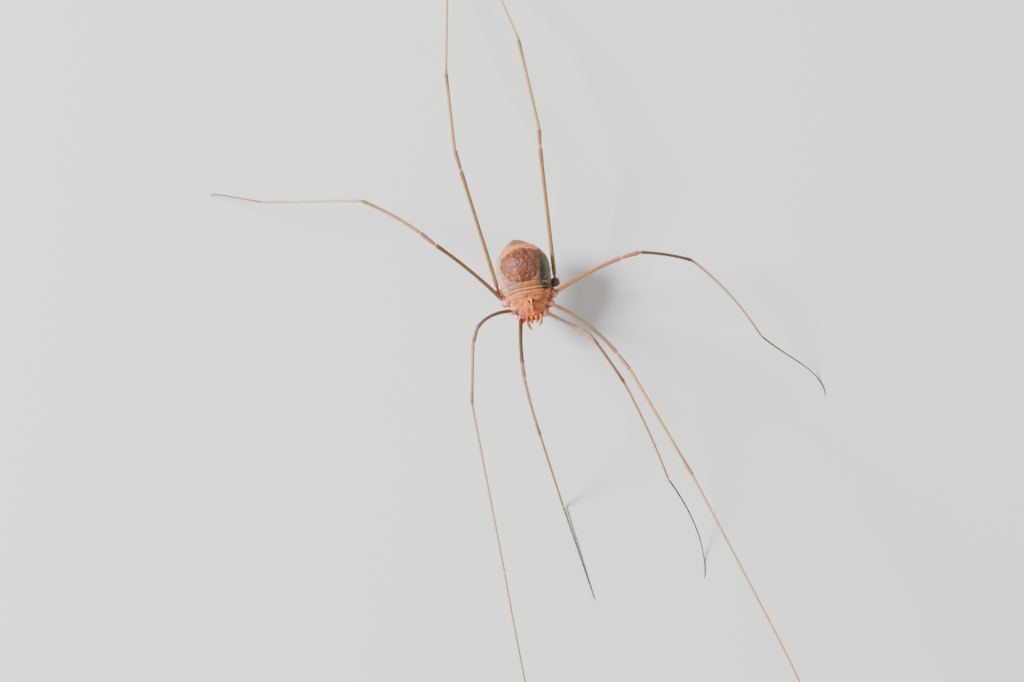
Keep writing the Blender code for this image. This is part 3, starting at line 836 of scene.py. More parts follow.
def back_relief(point):
    """Height added to the opisthosoma by its plates, grooves and grains."""
    upward = smoothstep(*BACK_LEVELS, point.z)
    height = 0.0
    previous = PLATE_EDGES[0][0] - 0.3
    for edge, depth in PLATE_EDGES:
        wobble = 0.03 * noise.noise(Vector((point.x * 1.3, edge * 7, 0)))
        away = point.y - edge - wobble
        height -= depth * bell(away, GROOVE_WIDTH) * upward
        if previous < point.y <= edge:
            share = (point.y - previous) / (edge - previous)
            height += PLATE_RISE * (share**2 - 0.35) * upward * depth / 0.05
        previous = edge
    under = 1 - smoothstep(*BELLY_RELIEF_LEVELS, point.z)
    for edge in BELLY_EDGES:
        height -= BELLY_GROOVE * bell(point.y - edge, GROOVE_WIDTH) * under
    rough = saddle_share(point)
    height -= WRINKLE_DEPTH * rough * wrinkle(point)
    height += (0.012 + 0.034 * rough) * noise.noise(point * 2.6)
    height += (0.006 + 0.022 * rough) * noise.noise(point * 5.5)
    height += (0.004 + 0.020 * rough) * (granule(point, GRAIN_SPACING) - 0.5)
    # Low folds run down the soft flanks.
    flank = smoothstep(*FOLD_STARTS, point.z) * (1 - smoothstep(*FOLD_ENDS, point.z))
    height += 0.012 * flank * math.sin(point.y * 9 + 2 * noise.noise(point * 1.5))
    return height


def carapace_relief(point):
    """Height added to the prosoma by its furrows, swellings and grains."""
    upward = smoothstep(*CARAPACE_LEVELS, point.z)
    height = -DEEPEST_FURROW * furrow_depth(point) * upward
    height += 0.050 * noise.noise(point * 1.7) * upward
    height += 0.020 * noise.noise(point * 4.5) * upward
    height += 0.008 * (granule(point, GRAIN_SPACING) - 0.5)
    return height


def lobe_colour(point):
    """Pigment of the saddle's two lobes: orange on the right of the back, purple-brown on its left."""
    speckle = noise.noise(point * 3.2)
    fleck = noise.noise(point * 7.5)
    light_lobe = LOBE_ORANGE.lerp(LOBE_TAN, limited(0.5 + 1.1 * speckle))
    dark_lobe = LOBE_BROWN.lerp(LOBE_PURPLE, limited(0.5 + 1.2 * fleck))
    colour = light_lobe.lerp(dark_lobe, smoothstep(-0.9, 1.0, point.x))
    blotch = smoothstep(0.02, 0.32, noise.noise(point * 2.4 + Vector((9, 3, 1))))
    colour = colour.lerp(STRIPE_RED, 0.60 * blotch)
    return colour.lerp(STRIPE_BROWN, 0.60 * wrinkle(point))


def saddle_rim(point):
    """How far a point is in the darker rear and outer rims of the lobes, from 0 to 1."""
    from_right = point.x - between(SADDLE_RIGHT_OF_BACK, point.y)
    from_left = between(SADDLE_LEFT_OF_BACK, point.y) - point.x
    patchy = limited(0.55 + 1.3 * noise.noise(point * 2.9))
    rim = patchy * bell(from_right - 0.18, 0.20)
    rim = max(rim, patchy * bell(from_left - 0.10, 0.14))
    rim = max(rim, patchy * bell(point.y - SADDLE_FRONT - 0.16, 0.14))
    return max(rim, bell(point.y - 1.95, 0.16) * smoothstep(0.9, 1.3, abs(point.x + 0.2)))


def saddle_colour(point):
    """Pigment of the saddle: its lobes with their rims, and the stripe with its pale and dark edges."""
    colour = lobe_colour(point).lerp(STRIPE_RED, 0.75 * saddle_rim(point))
    stripe, from_right, from_left = stripe_share(point)
    band = STRIPE_RED.lerp(STRIPE_BROWN, limited(0.4 + 1.1 * noise.noise(point * 3.2)))
    band = band.lerp(LOBE_ORANGE, 0.5 * smoothstep(0.05, 0.35, noise.noise(point * 7.5)))
    colour = colour.lerp(band, stripe)
    within = 1 - smoothstep(2.60, 2.75, point.y)
    pale = bell(from_right + 0.07, 0.055) * smoothstep(-0.9, -0.6, -point.y + 0.9)
    pale *= limited(0.55 + 1.5 * noise.noise(point * 3.7))
    colour = colour.lerp(STRIPE_EDGE_PALE, 0.70 * pale * within)
    dark = bell(from_right - 0.06, 0.06) + bell(from_left - 0.02, 0.075)
    return colour.lerp(STRIPE_EDGE_DARK, limited(0.62 * dark) * within)


def band_colour(point):
    """Pigment of the smooth band ahead of the saddle and of the front plates."""
    middle = smoothstep(-0.85, -0.65, point.x)
    colour = BAND_LAVENDER.lerp(BAND_ORANGE, middle)
    colour = colour.lerp(BAND_GRAY, smoothstep(0.75, 1.25, point.x))
    behind = smoothstep(-1.40, -1.22, point.y)
    colour = BAND_ORANGE.lerp(SHOULDER_ORANGE, limited(0.6 - 0.5 * point.x)).lerp(colour, behind)
    return colour


def flank_colour(point):
    """Colour of the flanks: whitish on the animal's right, and painted shade on its left, dark and going
    olive with a painted green reflection.
    """
    right = FLANK_TAN.lerp(FLANK_WHITE, limited((-point.x - 1.9) / 0.5))
    # The animal's left flank is painted shade, with a painted green reflection further out.
    left = FLANK_PAINTED_SHADE.lerp(FLANK_SHADE_GREEN_REFLECTION, smoothstep(1.75, 2.3, point.x + 0.35 * noise.noise(point * 2.0)))
    fleck = smoothstep(0.16, 0.32, noise.noise(point * 4.6))
    fleck *= bell(point.y + 0.9, 0.45) * smoothstep(*FLANK_LEVELS, point.z)
    left = left.lerp(FLANK_TAN, 0.55 * fleck)
    return right.lerp(left, smoothstep(0.6, 1.1, point.x))


def flank_share(point):
    """1 on the flanks, which begin at the sides of the saddle and of the front plates."""
    wobble = 0.05 * noise.noise(point * 4.0)
    right_side = between(FLANK_RIGHT_OF_BACK, point.y)
    left_side = between(FLANK_LEFT_OF_BACK, point.y)
    flank = 1 - past(right_side, 0.12, point.x + 2 * wobble)
    flank = max(flank, past(left_side, 0.08, point.x + 2 * wobble))
    return max(flank, 1 - smoothstep(*FLANK_LEVELS, point.z))


def back_colour(point):
    """Pigment of the opisthosoma, with its ridges, grooves, tail patch and belly."""
    colour = band_colour(point)
    shoulder = smoothstep(1.9, 2.5, point.y + 0.3 * noise.noise(point * 1.5))
    colour = colour.lerp(SHOULDER_ORANGE, shoulder)
    colour = colour.lerp(flank_colour(point), flank_share(point))
    colour = colour.lerp(saddle_colour(point), saddle_share(point))

    # Bright ridges where the front plates end, and painted shade darkening the grooves behind them.
    level = smoothstep(*RIDGE_LEVELS, point.z)
    for ridge, strength in PLATE_RIDGES:
        bright = bell(point.y - ridge + 0.02 * point.x, 0.05) * level
        colour = colour.lerp(RIDGE_ORANGE, bright * strength * (1 - smoothstep(1.3, 1.8, point.x)))
    for edge_place, depth in PLATE_EDGES:
        dark = bell(point.y - edge_place - 0.02, 0.045) * smoothstep(*GROOVE_LEVELS, point.z)
        colour = colour * (1 - GROOVE_SHADE * depth * dark)

    ragged = 0.16 * noise.noise(point * 2.7)
    tail = smoothstep(3.12, 3.50, point.y + ragged) * smoothstep(*TAIL_LEVELS, point.z)
    tail *= 1 - smoothstep(0.48, 0.86, abs(point.x + 0.22 + ragged))
    spots = smoothstep(0.02, 0.26, noise.noise(Vector((point.x * 3.4, point.y * 3.0, 4))))
    colour = colour.lerp(TAIL_PURPLE.lerp(TAIL_DARK, 0.85 * spots), 0.9 * tail)
    belly = 1 - smoothstep(*BELLY_LEVELS, point.z)
    under = BELLY_PALE.lerp(BELLY_BROWN, limited(0.35 + 0.9 * noise.noise(point * 1.6)))
    return colour.lerp(under, belly)


def from_eye_hill(point):
    return (Vector((point.x, point.y)) - Vector((0, EYE_SPOT.y))).length


def carapace_colour(point):
    """Pigment of the prosoma, with its furrows, marks and the pale crest of the eye hill."""
    speckle = noise.noise(point * 5.0)
    colour = CARAPACE_ORANGE.lerp(CARAPACE_RED, limited(0.18 + 0.9 * speckle + 0.55 * limited(point.x)))
    furrow = furrow_depth(point) * smoothstep(*FURROW_LEVELS, point.z)
    colour = colour.lerp(FURROW_BROWN, limited(0.75 * furrow))
    colour = colour.lerp(CARAPACE_RED, 0.45 * smoothstep(3.2, 3.8, -point.y))
    drift = Vector((noise.noise(point * 3.1), noise.noise(point * 3.1 + Vector((2, 9, 4))))) * 0.10
    spot = Vector((point.x, point.y)) + drift
    for middle, (half_x, half_y), pale, strength in CARAPACE_MARKS:
        reach = ((spot.x - middle.x) / half_x) ** 2 + ((spot.y - middle.y) / half_y) ** 2
        mark = strength * math.exp(-(reach**1.5)) * smoothstep(*MARK_LEVELS, point.z)
        colour = colour.lerp(RIDGE_ORANGE if pale else FURROW_BROWN, mark)
    around = from_eye_hill(point)
    colour = colour.lerp(CARAPACE_RED, 0.65 * bell(around, 0.50))
    crest = math.exp(-((point.x / CREST_WIDTH) ** 4)) * smoothstep(*CREST_LEVELS, point.z)
    colour = colour.lerp(CREST_CREAM, crest * (1 - smoothstep(*CREST_LENGTH, around)))
    return colour.lerp(COXA_ORANGE, 0.7 * (1 - smoothstep(*PROSOMA_UNDERSIDE_LEVELS, point.z)))


def body_colour(point):
    """Pigment and shine of the body at a point, before the coxae."""
    front = prosoma_share(point)
    colour = back_colour(point).lerp(carapace_colour(point), front)
    dull_hill = bell(from_eye_hill(point), 0.60)
    shine = (0.16 + 0.14 * front + 0.24 * (1 - saddle_share(point))) * (1 - 0.7 * front * dull_hill)
    return colour, shine


def limb_shares(point):
    """How far a point is on a ball of a trochanter, and on the barrel of a coxa, each from 0 to 1."""
    nearest = min((point - ball).length for _, ball in COXA_LINES)
    barrel, along = min(distance_to_line(point, root, ball) for root, ball in COXA_LINES)
    ball_share = 1 - smoothstep(0.50, 0.62, nearest)
    near_barrel = 1 - smoothstep(0.50, 0.66, barrel)
    under = 1 - smoothstep(*COXA_UNDERSIDE_LEVELS, point.z)
    return ball_share, near_barrel * max(smoothstep(0.35, 0.6, along), under)


def ball_colour(point, outward):
    """The balls are orange with brown patches and pink on top, where the pink is partly a painted sheen."""
    # Painted sheen: the tops of the balls turn a paler pink.
    sheen_crown = limited(0.35 + 0.75 * outward.z + 0.8 * noise.noise(point * 3.0))
    patch = smoothstep(0.02, 0.25, noise.noise(point * 1.9 + Vector((4, 1, 6))))
    return BALL_ORANGE.lerp(BALL_PINK_AND_SHEEN, sheen_crown).lerp(BALL_BROWN, 0.75 * patch)


def skin_point(point, outward, webs):
    """Outward move, pigment and shine of the body's skin at a point."""
    ball_share, coxa_share = limb_shares(point)
    limb = max(ball_share, coxa_share)
    front = prosoma_share(point)
    relief = carapace_relief(point) * front + back_relief(point) * (1 - front)
    lumps = 0.045 * noise.noise(point * 2.9) + 0.022 * noise.noise(point * 6.0)
    move = outward * (relief * (1 - limb) + lumps * limb)

    colour, shine = body_colour(point)
    tone = limited(0.45 + 0.9 * noise.noise(point * 2.2))
    colour = colour.lerp(COXA_ORANGE.lerp(BALL_PINK_AND_SHEEN, 0.6 * tone), coxa_share)
    # Painted shade darkens the soft skin in the gaps between the coxae.
    web = max(math.exp(-((point - middle).length_squared / WEB_SHADE_SPREAD)) for middle in webs)
    colour = colour.lerp(FURROW_BROWN, 0.7 * web * (1 - ball_share))
    colour = colour.lerp(ball_colour(point, outward), ball_share)
    # Painted shade: the ball of the left hind leg and the skin round it are darkened.
    shaded = limited(1.3 * limb * math.exp(-((point - SHADED_BALL).length_squared / BALL_SHADE_SPREAD)))
    colour = colour.lerp(BALL_SHADE, 0.95 * shaded)
    # Painted shade from the relief: the tops of the grains and lumps are a little paler than the hollows
    # between them.
    shade = 1 + relief * RELIEF_SHADING * (1 - limb) + 0.10 * noise.noise(point * 12.0)
    shade += 4.0 * lumps * limb
    shine = max(shine, 0.70 * coxa_share, 1.0 * ball_share) * (1 - 0.45 * shaded)
    return move, colour * max(0.3, shade), shine


def joined_body_parts(webs):
    """The trunk, eye hill, front lobes, webs, coxae and balls, merged into one even skin."""
    parts = [build_trunk(), add_lobe("eye_hill", EYE_HILL, EYE_HILL_SIZE)]
    parts += [add_lobe("front_lobe", middle, size) for middle, size in FRONT_LOBES]
    parts += [add_lobe("web", middle, (WEB_RADIUS,) * 3) for middle in webs]
    for pair, side in LEGS:
        parts += build_coxa(pair, side)
    deselect_all()
    for part in parts:
        part.select_set(True)
    bpy.context.view_layer.objects.active = parts[0]
    bpy.ops.object.join()
    skin = bpy.context.object
    skin.name = "body_skin"
    skin.data.materials.clear()
    apply_modifier(skin, "REMESH", mode="VOXEL", voxel_size=SKIN_VOXEL, use_smooth_shade=True)
    apply_modifier(skin, "SMOOTH", factor=0.5, iterations=SKIN_SMOOTHING)
    return skin


def build_body_skin():
    """One skin over the trunk, eye hill, front lobes, webs, coxae and balls, with its setae."""
    webs = web_places()
    skin = joined_body_parts(webs)
    looks = [skin_point(vert.co.copy(), vert.normal.copy(), webs) for vert in skin.data.vertices]
    for vert, (move, _, _) in zip(skin.data.vertices, looks):
        vert.co += move
    paint(skin, [colour for _, colour, _ in looks], [shine for _, _, shine in looks])
    skin_points = [
        (vert.co.copy(), vert.normal.copy(), colour)
        for vert, (_, colour, shine) in zip(skin.data.vertices, looks) if shine < LIMB_SHINE
    ]
    nodes = ["prosoma", "ocularium", "opisthosoma"]
    nodes += [f"leg{pair}_{side}_coxa" for pair, side in LEGS]
    finish_piece(skin, CUTICLE_BODY, nodes)
    build_body_setae(skin_points)


# The legs.

def leg_segments(pair, side):
    """The smooth middle line of each segment of a leg, from the body outwards, joint to joint."""
    here = ball = coxa_line(pair, side)[1]
    lines = []
    for kind in SEGMENTS:
        sides = TARSUS_RING if kind == "tarsus" else LIMB_RING
        rings = solid_rings(f"leg{pair}_{side}_{kind}", sides, here)
        lines.append([middle for middle, _ in rings])
        here = lines[-1][-1]
    joints = [ball] + [(line[-1] + after[0]) / 2 for line, after in zip(lines, lines[1:])] + [lines[-1][-1]]
    paths = []
    for kind, line, start, end in zip(SEGMENTS, lines, joints, joints[1:]):
        step = TARSUS_PATH_STEP if kind == "tarsus" else LIMB_PATH_STEP
        paths.append(curve_through([start, *line[1:-1], end], step))
    return paths


def tarsus_places(length):
    """Distances along a tarsus with the swelling of its articles at each."""
    count = round(length / ARTICLE_LENGTH)
    places = []
    for i in range(count):
        for phase, swelling in ARTICLE_STATIONS:
            places.append((length * (i + phase) / count, swelling))
    places.append((length, 1.0))
    return places


def segment_places(kind, length):
    """Distances along a segment of the leg with the swelling or pinch at each."""
    if kind == "tarsus":
        return tarsus_places(length)
    count = round(length / LEG_STEP)
    places = [length * i / count for i in range(count + 1)]
    places += [length * share for share, _ in LEG_PROFILES[kind]]
    spots = []
    if kind == "metatarsus":
        first = FALSE_JOINTS_START * length
        spots = [first + FALSE_JOINT_SPACING * i for i in range(int((length - first) / FALSE_JOINT_SPACING))]
        places += [spot + shift for spot in spots for shift in (-FALSE_JOINT_WIDTH, 0, FALSE_JOINT_WIDTH)]
    pinched = {round(spot, 4) for spot in spots}
    spaced = []
    for place in sorted(places):
        if not spaced or place - spaced[-1][0] > SHORTEST_STEP:
            spaced.append((place, FALSE_JOINT_PINCH if round(place, 4) in pinched else 1.0))
    return spaced


def leg_colour(pair, side, kind, share):
    """Pigment at a share of the way along a segment of a leg."""
    tones = LEG_PIGMENTS[pair, side]
    colour = tones[SEGMENTS.index(kind)]
    if kind == "femur":
        colour = colour.lerp(tones[1], 0.5 * smoothstep(0.93, 1.0, share))
        colour = colour.lerp(PINK_BROWN, 0.8 * (1 - smoothstep(0.05, 0.12, share)))
    if kind == "tibia":
        colour = colour.lerp(DARK_BROWN, 0.55 * smoothstep(0.65, 0.95, share))
    if kind == "metatarsus":
        colour = colour.lerp(tones[2], 0.5 * (1 - smoothstep(0.0, 0.10, share)))
        colour = colour.lerp(tones[4], 0.5 * smoothstep(0.75, 1.0, share))
    if kind == "tarsus":
        colour = colour.lerp(tones[5], smoothstep(0.10, 0.85, share))
    return colour


def segment_stations(pair, side, kind, path):
    """(place, radius, tone) along one segment of a leg, short of the knees at its ends."""
    marks = path_lengths(path)
    length = marks[-1]
    stations = []
    for place, swelling in segment_places(kind, length):
        near_start = place < KNEE_REACH and kind != "femur"
        near_end = length - place < KNEE_REACH and kind != "tarsus"
        if near_start or near_end:
            continue
        share = place / length
        radius = between(LEG_PROFILES[kind], share) * swelling * PAIR_THICKNESS[pair]
        tone = leg_colour(pair, side, kind, share)
        if kind == "tarsus" and swelling == ARTICLE_NECK:
            tone = tone * ARTICLE_SHADE
        if kind == "metatarsus" and swelling < 1:
            tone = tone * FALSE_JOINT_SHADE
        stations.append((point_at(path, marks, place), radius, tone))
    return stations


def knee_stations(pair, side, kind, path, following):
    """(place, radius, tone) round the soft, narrow knee between a segment and the one that follows it."""
    next_kind = SEGMENTS[SEGMENTS.index(kind) + 1]
    marks = path_lengths(path)
    next_marks = path_lengths(following)
    knee = following[0]
    before = point_at(path, marks, marks[-1] - KNEE_REACH)
    after = point_at(following, next_marks, KNEE_REACH)
    wide = between(LEG_PROFILES[kind], 1 - KNEE_REACH / marks[-1])
    narrow = between(LEG_PROFILES[next_kind], KNEE_REACH / next_marks[-1])
    stations = []
    for share in (0.0, 0.25, 0.5, 0.75, 1.0):
        place = before.lerp(knee, share).lerp(knee.lerp(after, share), share)
        neck = 1 - (1 - KNEE_NECK) * math.sin(math.pi * share)
        radius = (wide + (narrow - wide) * share) * neck * PAIR_THICKNESS[pair]
        pale = math.sin(math.pi * share)
        tone = leg_colour(pair, side, kind, 1.0).lerp(JOINT_PALE, 0.45 * pale)
        stations.append((place, radius, tone))
    return stations


def let_down(place, radius):
    """A place near the floor, let down until a leg of that radius touches it."""
    drop = (SOLID_FOOT_HEIGHT - radius) * (1 - smoothstep(SOLID_FOOT_HEIGHT, FOOT_EASING, place.z))
    return Vector((place.x, place.y, max(place.z - drop, radius)))


def build_leg(pair, side):
    """One leg from the trochanter's socket to the claw, as a single tube with real thickness."""
    paths = leg_segments(pair, side)
    found = []
    for index, (kind, path) in enumerate(zip(SEGMENTS, paths)):
        found += segment_stations(pair, side, kind, path)
        if kind != "tarsus":
            found += knee_stations(pair, side, kind, path, paths[index + 1])
    stations = [(let_down(place, radius), radius) for place, radius, _ in found]
    tones = [tone for _, _, tone in found]
    leg = swept_tube(f"leg{pair}_{side}_skin", stations, LEG_BEVEL)
    tree = kdtree.KDTree(len(stations))
    for i, (place, _) in enumerate(stations):
        tree.insert(place, i)
    tree.balance()
    colours = [
        tones[tree.find(vert.co)[1]] * (1 + 0.16 * noise.noise(vert.co * 4.0)) for vert in leg.data.vertices
    ]
    paint(leg, colours, [LEG_SHINE] * len(colours))
    make_active(leg)
    bpy.ops.object.shade_smooth()
    nodes = [f"leg{pair}_{side}_{kind}" for kind in SEGMENTS]
    finish_piece(leg, CUTICLE_LEG, nodes)
    build_leg_setae(pair, side, stations, tones)


# The setae.

def spike_mesh(name, spikes):
    """Three-sided spikes as one mesh. A spike is root, tip, half width, tone, and place on the unwrap."""
    points = []
    faces = []
    places = []
    tones = []
    for root, tip, half_width, tone, (u, v) in spikes:
        along = (tip - root).normalized()
        first = along.orthogonal().normalized()
        second = along.cross(first)
        base = len(points)
        for k in range(3):
            turn = 2 * math.pi * k / 3
            points.append(root + (first * math.cos(turn) + second * math.sin(turn)) * half_width)
        points.append(tip)
        tones += [tone] * 4
        faces += [(base, base + 2, base + 1)]
        faces += [(base + k, base + (k + 1) % 3, base + 3) for k in range(3)]
        corners = ((u, v), (u + TUFT_PATCH, v), (u, v + TUFT_PATCH), (u + TUFT_PATCH, v + TUFT_PATCH))
        places += [corners[i] for i in (0, 2, 1, 0, 1, 3, 1, 2, 3, 2, 0, 3)]
    mesh = bpy.data.meshes.new(name)
    mesh.from_pydata(points, [], faces)
    unwrap = mesh.uv_layers.new(name="OFBake")
    unwrap.data.foreach_set("uv", [level for place in places for level in place])
    piece = bpy.data.objects.new(name, mesh)
    bpy.context.collection.objects.link(piece)
    paint(piece, tones, [SETA_SHINE] * len(tones))
    return piece


def build_leg_setae(pair, side, stations, tones):
    """Fine setae along a leg, with short dark denticles on the femur side, and the claw at its tip."""
    chance = random.Random(10 * pair + SIDES.index(side))
    places = [place for place, _ in stations]
    marks = path_lengths(places)
    total = marks[-1]
    count = round(total / SETA_SPACING)
    spikes = []
    index = 1
    for i in range(count):
        distance = total * (i + chance.random()) / count
        while marks[index] < distance:
            index += 1
        share = (distance - marks[index - 1]) / (marks[index] - marks[index - 1])
        place = places[index - 1].lerp(places[index], share)
        radius = stations[index - 1][1] + (stations[index][1] - stations[index - 1][1]) * share
        along = (places[index] - places[index - 1]).normalized()
        upward = (Vector((0, 0, 1)) - along * along.z).normalized()
        sideways = along.cross(upward)
        angle = chance.uniform(0, 2 * math.pi)
        outward = upward * math.cos(angle) + sideways * math.sin(angle)
        # Denticles near the body stand up, and setae further out lie along the leg.
        outer = smoothstep(0.20, 0.45, distance / total)
        length = (DENTICLE_LENGTH + SETA_GROWTH * outer) * chance.uniform(0.7, 1.3)
        lean = 1.1 - 0.5 * outer
        root = place + outward * radius * SETA_ROOT
        tip = root + (outward * math.sin(lean) + along * math.cos(lean)) * length
        if min(root.z, tip.z) < SETA_CLEARANCE or distance < SOCKET_REACH:
            continue
        tone = tones[index] * (0.45 + 0.25 * outer)
        spot = (0.01 + 0.97 * distance / total, 0.01 + 0.97 * angle / (2 * math.pi))
        spikes.append((root, tip, DENTICLE_HALF_WIDTH - SETA_THINNING * outer, tone, spot))
    along = (places[-1] - places[-3]).normalized()
    claw = places[-1] + along * CLAW_LENGTH
    claw.z = max(claw.z, SETA_CLEARANCE)
    spikes.append((places[-2], claw, stations[-2][1] * 0.9, NEAR_BLACK, (0.985, 0.5)))
    piece = spike_mesh(f"leg{pair}_{side}_setae", spikes)
    return finish_piece(piece, CUTICLE_LEG)


def build_body_setae(skin_points):
    """Short setae all over the body, leaning to the rear. The points are (place, outward, tone)."""
    chance = random.Random(5)
    spikes = []
    for place, outward, tone in chance.sample(skin_points, BODY_SETAE):
        length = BODY_SETA_LENGTH * chance.uniform(0.6, 1.3)
        lean = (outward + Vector((0, 0.7, 0.1))).normalized()
        angle = math.atan2(place.x, place.z - 6.5) / (2 * math.pi) + 0.5
        spot = (0.01 + 0.97 * (place.y + 6) / 12, 0.01 + 0.97 * angle)
        root = place - outward * BODY_SETA_DEPTH
        spikes.append((root, place + lean * length, BODY_SETA_HALF_WIDTH, tone * 0.5, spot))
    piece = spike_mesh("body_setae", spikes)
    return finish_piece(piece, CUTICLE_BODY)


# The eyes and the mouthparts.

def build_eye(side):
    """A domed lens, cut flat where it sits on the eye hill, with a stepped seat behind the cut."""
    middle = mirrored(EYE_SPOT, side)
    inward = mirrored(Vector((-1, 0, -0.25)), side).normalized()
    deselect_all()
    bpy.ops.mesh.primitive_uv_sphere_add(segments=32, ring_count=20, radius=EYE_RADIUS, location=middle)
    eye = bpy.context.object
    eye.name = "eye_" + side + "_lens"
    bpy.ops.object.mode_set(mode="EDIT")
    bpy.ops.mesh.select_all(action="SELECT")
    bpy.ops.transform.resize(value=LENS_STRETCH, center_override=middle)
    cut = middle + inward * LENS_CUT
    bpy.ops.mesh.bisect(plane_co=cut, plane_no=inward, use_fill=True, clear_outer=True, clear_inner=False)
    bpy.ops.mesh.inset(thickness=SEAT_STEP, depth=0)
    bpy.ops.mesh.extrude_region_move(TRANSFORM_OT_translate={"value": inward * SEAT_DEPTH})
    bpy.ops.mesh.select_all(action="SELECT")
    bpy.ops.mesh.normals_make_consistent(inside=False)
    bpy.ops.object.mode_set(mode="OBJECT")
    bpy.ops.object.transform_apply(location=True, rotation=True, scale=True)
    bpy.ops.object.shade_smooth()
    return finish_piece(eye, EYE_BLACK, ["eye_" + side])


CHELICERA = (
    (Vector((0.23, -3.80, 6.00)), 0.15),
    (Vector((0.24, -4.06, 6.06)), 0.165),
    (Vector((0.245, -4.20, 6.05)), 0.15),
    (Vector((0.25, -4.31, 5.98)), 0.165),
    (Vector((0.255, -4.41, 5.82)), 0.185),
    (Vector((0.25, -4.45, 5.56)), 0.18),
    (Vector((0.24, -4.43, 5.28)), 0.13),
    (Vector((0.22, -4.37, 5.06)), 0.07),
    (Vector((0.20, -4.32, 4.94)), 0.025),
)
CHELICERA_FINGER = (
    (Vector((0.25, -4.45, 5.46)), 0.09),
    (Vector((0.25, -4.56, 5.24)), 0.07),
    (Vector((0.22, -4.51, 5.02)), 0.02),
)
PEDIPALP = (
    (Vector((0.60, -3.58, 5.84)), 0.15),
    (Vector((0.67, -3.92, 5.89)), 0.185),
    (Vector((0.70, -4.08, 5.94)), 0.18),
    (Vector((0.71, -4.16, 5.99)), 0.14),
    (Vector((0.72, -4.34, 6.08)), 0.165),
    (Vector((0.705, -4.52, 6.17)), 0.185),
    (Vector((0.695, -4.60, 6.18)), 0.175),
    (Vector((0.685, -4.67, 6.17)), 0.14),
    (Vector((0.66, -4.77, 6.11)), 0.18),
    (Vector((0.625, -4.87, 5.98)), 0.18),
    (Vector((0.605, -4.91, 5.90)), 0.14),
    (Vector((0.57, -4.97, 5.74)), 0.165),
    (Vector((0.53, -5.00, 5.58)), 0.15),
    (Vector((0.515, -5.01, 5.53)), 0.115),
    (Vector((0.45, -5.06, 5.28)), 0.12),
    (Vector((0.40, -5.10, 5.10)), 0.09),
    (Vector((0.36, -5.13, 4.95)), 0.05),
    (Vector((0.34, -5.15, 4.86)), 0.02),
)
# The left pedipalp is drawn in, so that it reaches less far ahead of its root.
PALP_REACH = {"left": 0.86, "right": 1.0}


def palp_stations(side):
    """The pedipalp's stations with the reach of its side."""
    root = PEDIPALP[0][0]
    reach = PALP_REACH[side]
    return [(Vector((place.x, root.y + (place.y - root.y) * reach, place.z)), r) for place, r in PEDIPALP]


def smooth_stations(stations, side):
    """The (place, radius) stations of one side, filled in on a smooth curve."""
    points = [mirrored(place, side) for place, _ in stations]
    lengths = path_lengths(points)
    radii = [(length, radius) for length, (_, radius) in zip(lengths, stations)]
    path = curve_through(points, MOUTHPART_PATH_STEP)
    marks = path_lengths(path)
    scale = lengths[-1] / marks[-1]
    return [(point, between(radii, mark * scale)) for point, mark in zip(path, marks)]


def build_mouthpart(kind, side, stations, extra=None):
    """A chelicera, with its finger as the extra, or a pedipalp, with dark tips."""
    node = f"{kind}_{side}"
    name = node + "_skin"
    tube = swept_tube(name, smooth_stations(stations, side), bevel=5)
    if extra:
        finger = swept_tube(name + "_finger", smooth_stations(extra, side), bevel=4)
        deselect_all()
        finger.select_set(True)
        tube.select_set(True)
        bpy.context.view_layer.objects.active = tube
        bpy.ops.object.join()
    apply_modifier(tube, "REMESH", mode="VOXEL", voxel_size=MOUTHPART_VOXEL, use_smooth_shade=True)
    apply_modifier(tube, "SMOOTH", factor=0.5, iterations=MOUTHPART_SMOOTHING)
    lowest = min(vert.co.z for vert in tube.data.vertices)
    colours = []
    for vert in tube.data.vertices:
        tip = 1 - smoothstep(0.0, 0.22, vert.co.z - lowest)
        tone = CARAPACE_ORANGE.lerp(CARAPACE_RED, limited(0.6 + 1.2 * noise.noise(vert.co * 3.0)))
        # Painted shade: faces that turn downward are darkened.
        tone = tone.lerp(FURROW_BROWN, 0.5 * (1 - smoothstep(-0.2, 0.6, vert.normal.z)))
        tone = tone.lerp(UMBER, 0.75 * tip)
        colours.append(tone * (1 + 0.15 * noise.noise(vert.co * 11.0)))
    paint(tube, colours, [MOUTHPART_SHINE] * len(colours))
    return finish_piece(tube, CUTICLE_BODY, [node])


# The floor, the light and the camera.

def build_floor():
    """The plain pale floor that the animal stands on."""
    deselect_all()
    bpy.ops.mesh.primitive_plane_add(size=FLOOR_SIZE, location=(0, 0, 0))
    floor = bpy.context.object
    floor.name = "floor"
    material = bpy.data.materials.new("pale_floor")
    material.use_nodes = True
    shader = material.node_tree.nodes["Principled BSDF"]
    shader.inputs["Base Color"].default_value = (0.72, 0.72, 0.70, 1)
    shader.inputs["Roughness"].default_value = 0.9
    floor.data.materials.append(material)


FLOOR_SIZE = 1.6

# The photo's view, with the camera's place in millimetres round the body.
VIEW_AZIMUTH = -12
VIEW_ELEVATION = 80
VIEW_PLACE = Vector((-17.1, -73.97, 400.12))
VIEW_LENS = 140.6


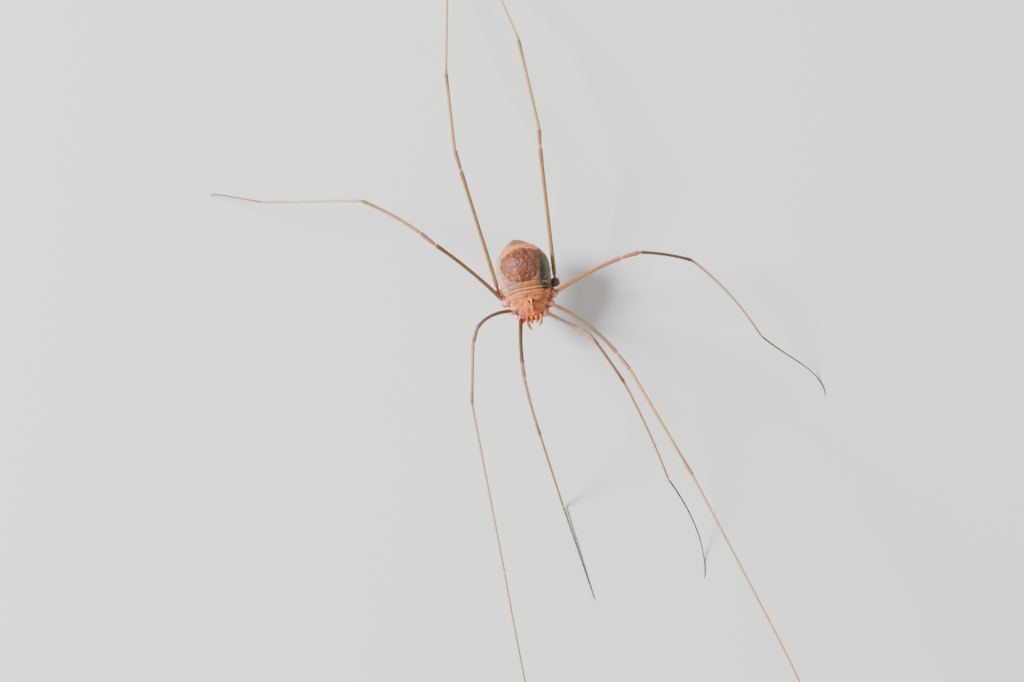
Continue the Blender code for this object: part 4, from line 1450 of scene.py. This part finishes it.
def build_camera():
    """The photo's view: from above, and a little from the front and from the animal's right."""
    camera = bpy.data.objects.new("camera", bpy.data.cameras.new("camera"))
    bpy.context.scene.collection.objects.link(camera)
    camera.data.sensor_width = 36
    camera.data.lens = VIEW_LENS
    camera.data.clip_start = 0.01
    camera.data.clip_end = 10
    camera.location = BODY_PLACE + VIEW_PLACE * MM
    camera.rotation_euler = (math.radians(90 - VIEW_ELEVATION), 0, math.radians(VIEW_AZIMUTH))
    bpy.context.scene.camera = camera


def add_softbox(name, direction, distance, size, power):
    """A square soft light that faces the body from a direction, at a distance in metres."""
    data = bpy.data.lights.new(name, "AREA")
    data.size = size
    data.energy = power
    lamp = bpy.data.objects.new(name, data)
    bpy.context.scene.collection.objects.link(lamp)
    lamp.location = BODY_PLACE + Vector(direction).normalized() * distance
    lamp.rotation_mode = "QUATERNION"
    lamp.rotation_quaternion = Vector(direction).to_track_quat("Z", "Y")


def build_light():
    """A key from the upper left of the view, a wide fill from the right, and an even pale surround."""
    add_softbox("key", direction=(-1.0, 0.34, 1.0), distance=0.6, size=0.18, power=9.5)
    add_softbox("fill", direction=(0.6, -0.7, 1.0), distance=0.8, size=0.6, power=1.4)
    world = bpy.data.worlds.new("studio")
    world.use_nodes = True
    background = world.node_tree.nodes["Background"]
    background.inputs["Color"].default_value = (1.0, 0.98, 0.95, 1)
    background.inputs["Strength"].default_value = 0.5
    bpy.context.scene.world = world


COXA_LINES = [coxa_line(leg_pair, leg_side) for leg_pair, leg_side in LEGS]
# The ball of the left hind leg is darkened with painted shade, beside the painted shade of the flank.
SHADED_BALL = coxa_line(4, "left")[1]

CUTICLE_BODY = cuticle("cuticle_body", grain=5200.0, grain_height=0.02, mottling=0.22)
CUTICLE_LEG = cuticle("cuticle_leg", grain=7000.0, grain_height=0.012, mottling=0.16)
EYE_BLACK = eye_black()

build_body_skin()
for leg_pair, leg_side in LEGS:
    build_leg(leg_pair, leg_side)
for body_side in SIDES:
    build_eye(body_side)
    build_mouthpart("chelicera", body_side, CHELICERA, CHELICERA_FINGER)
    build_mouthpart("pedipalp", body_side, palp_stations(body_side))
build_floor()
build_light()
build_camera()
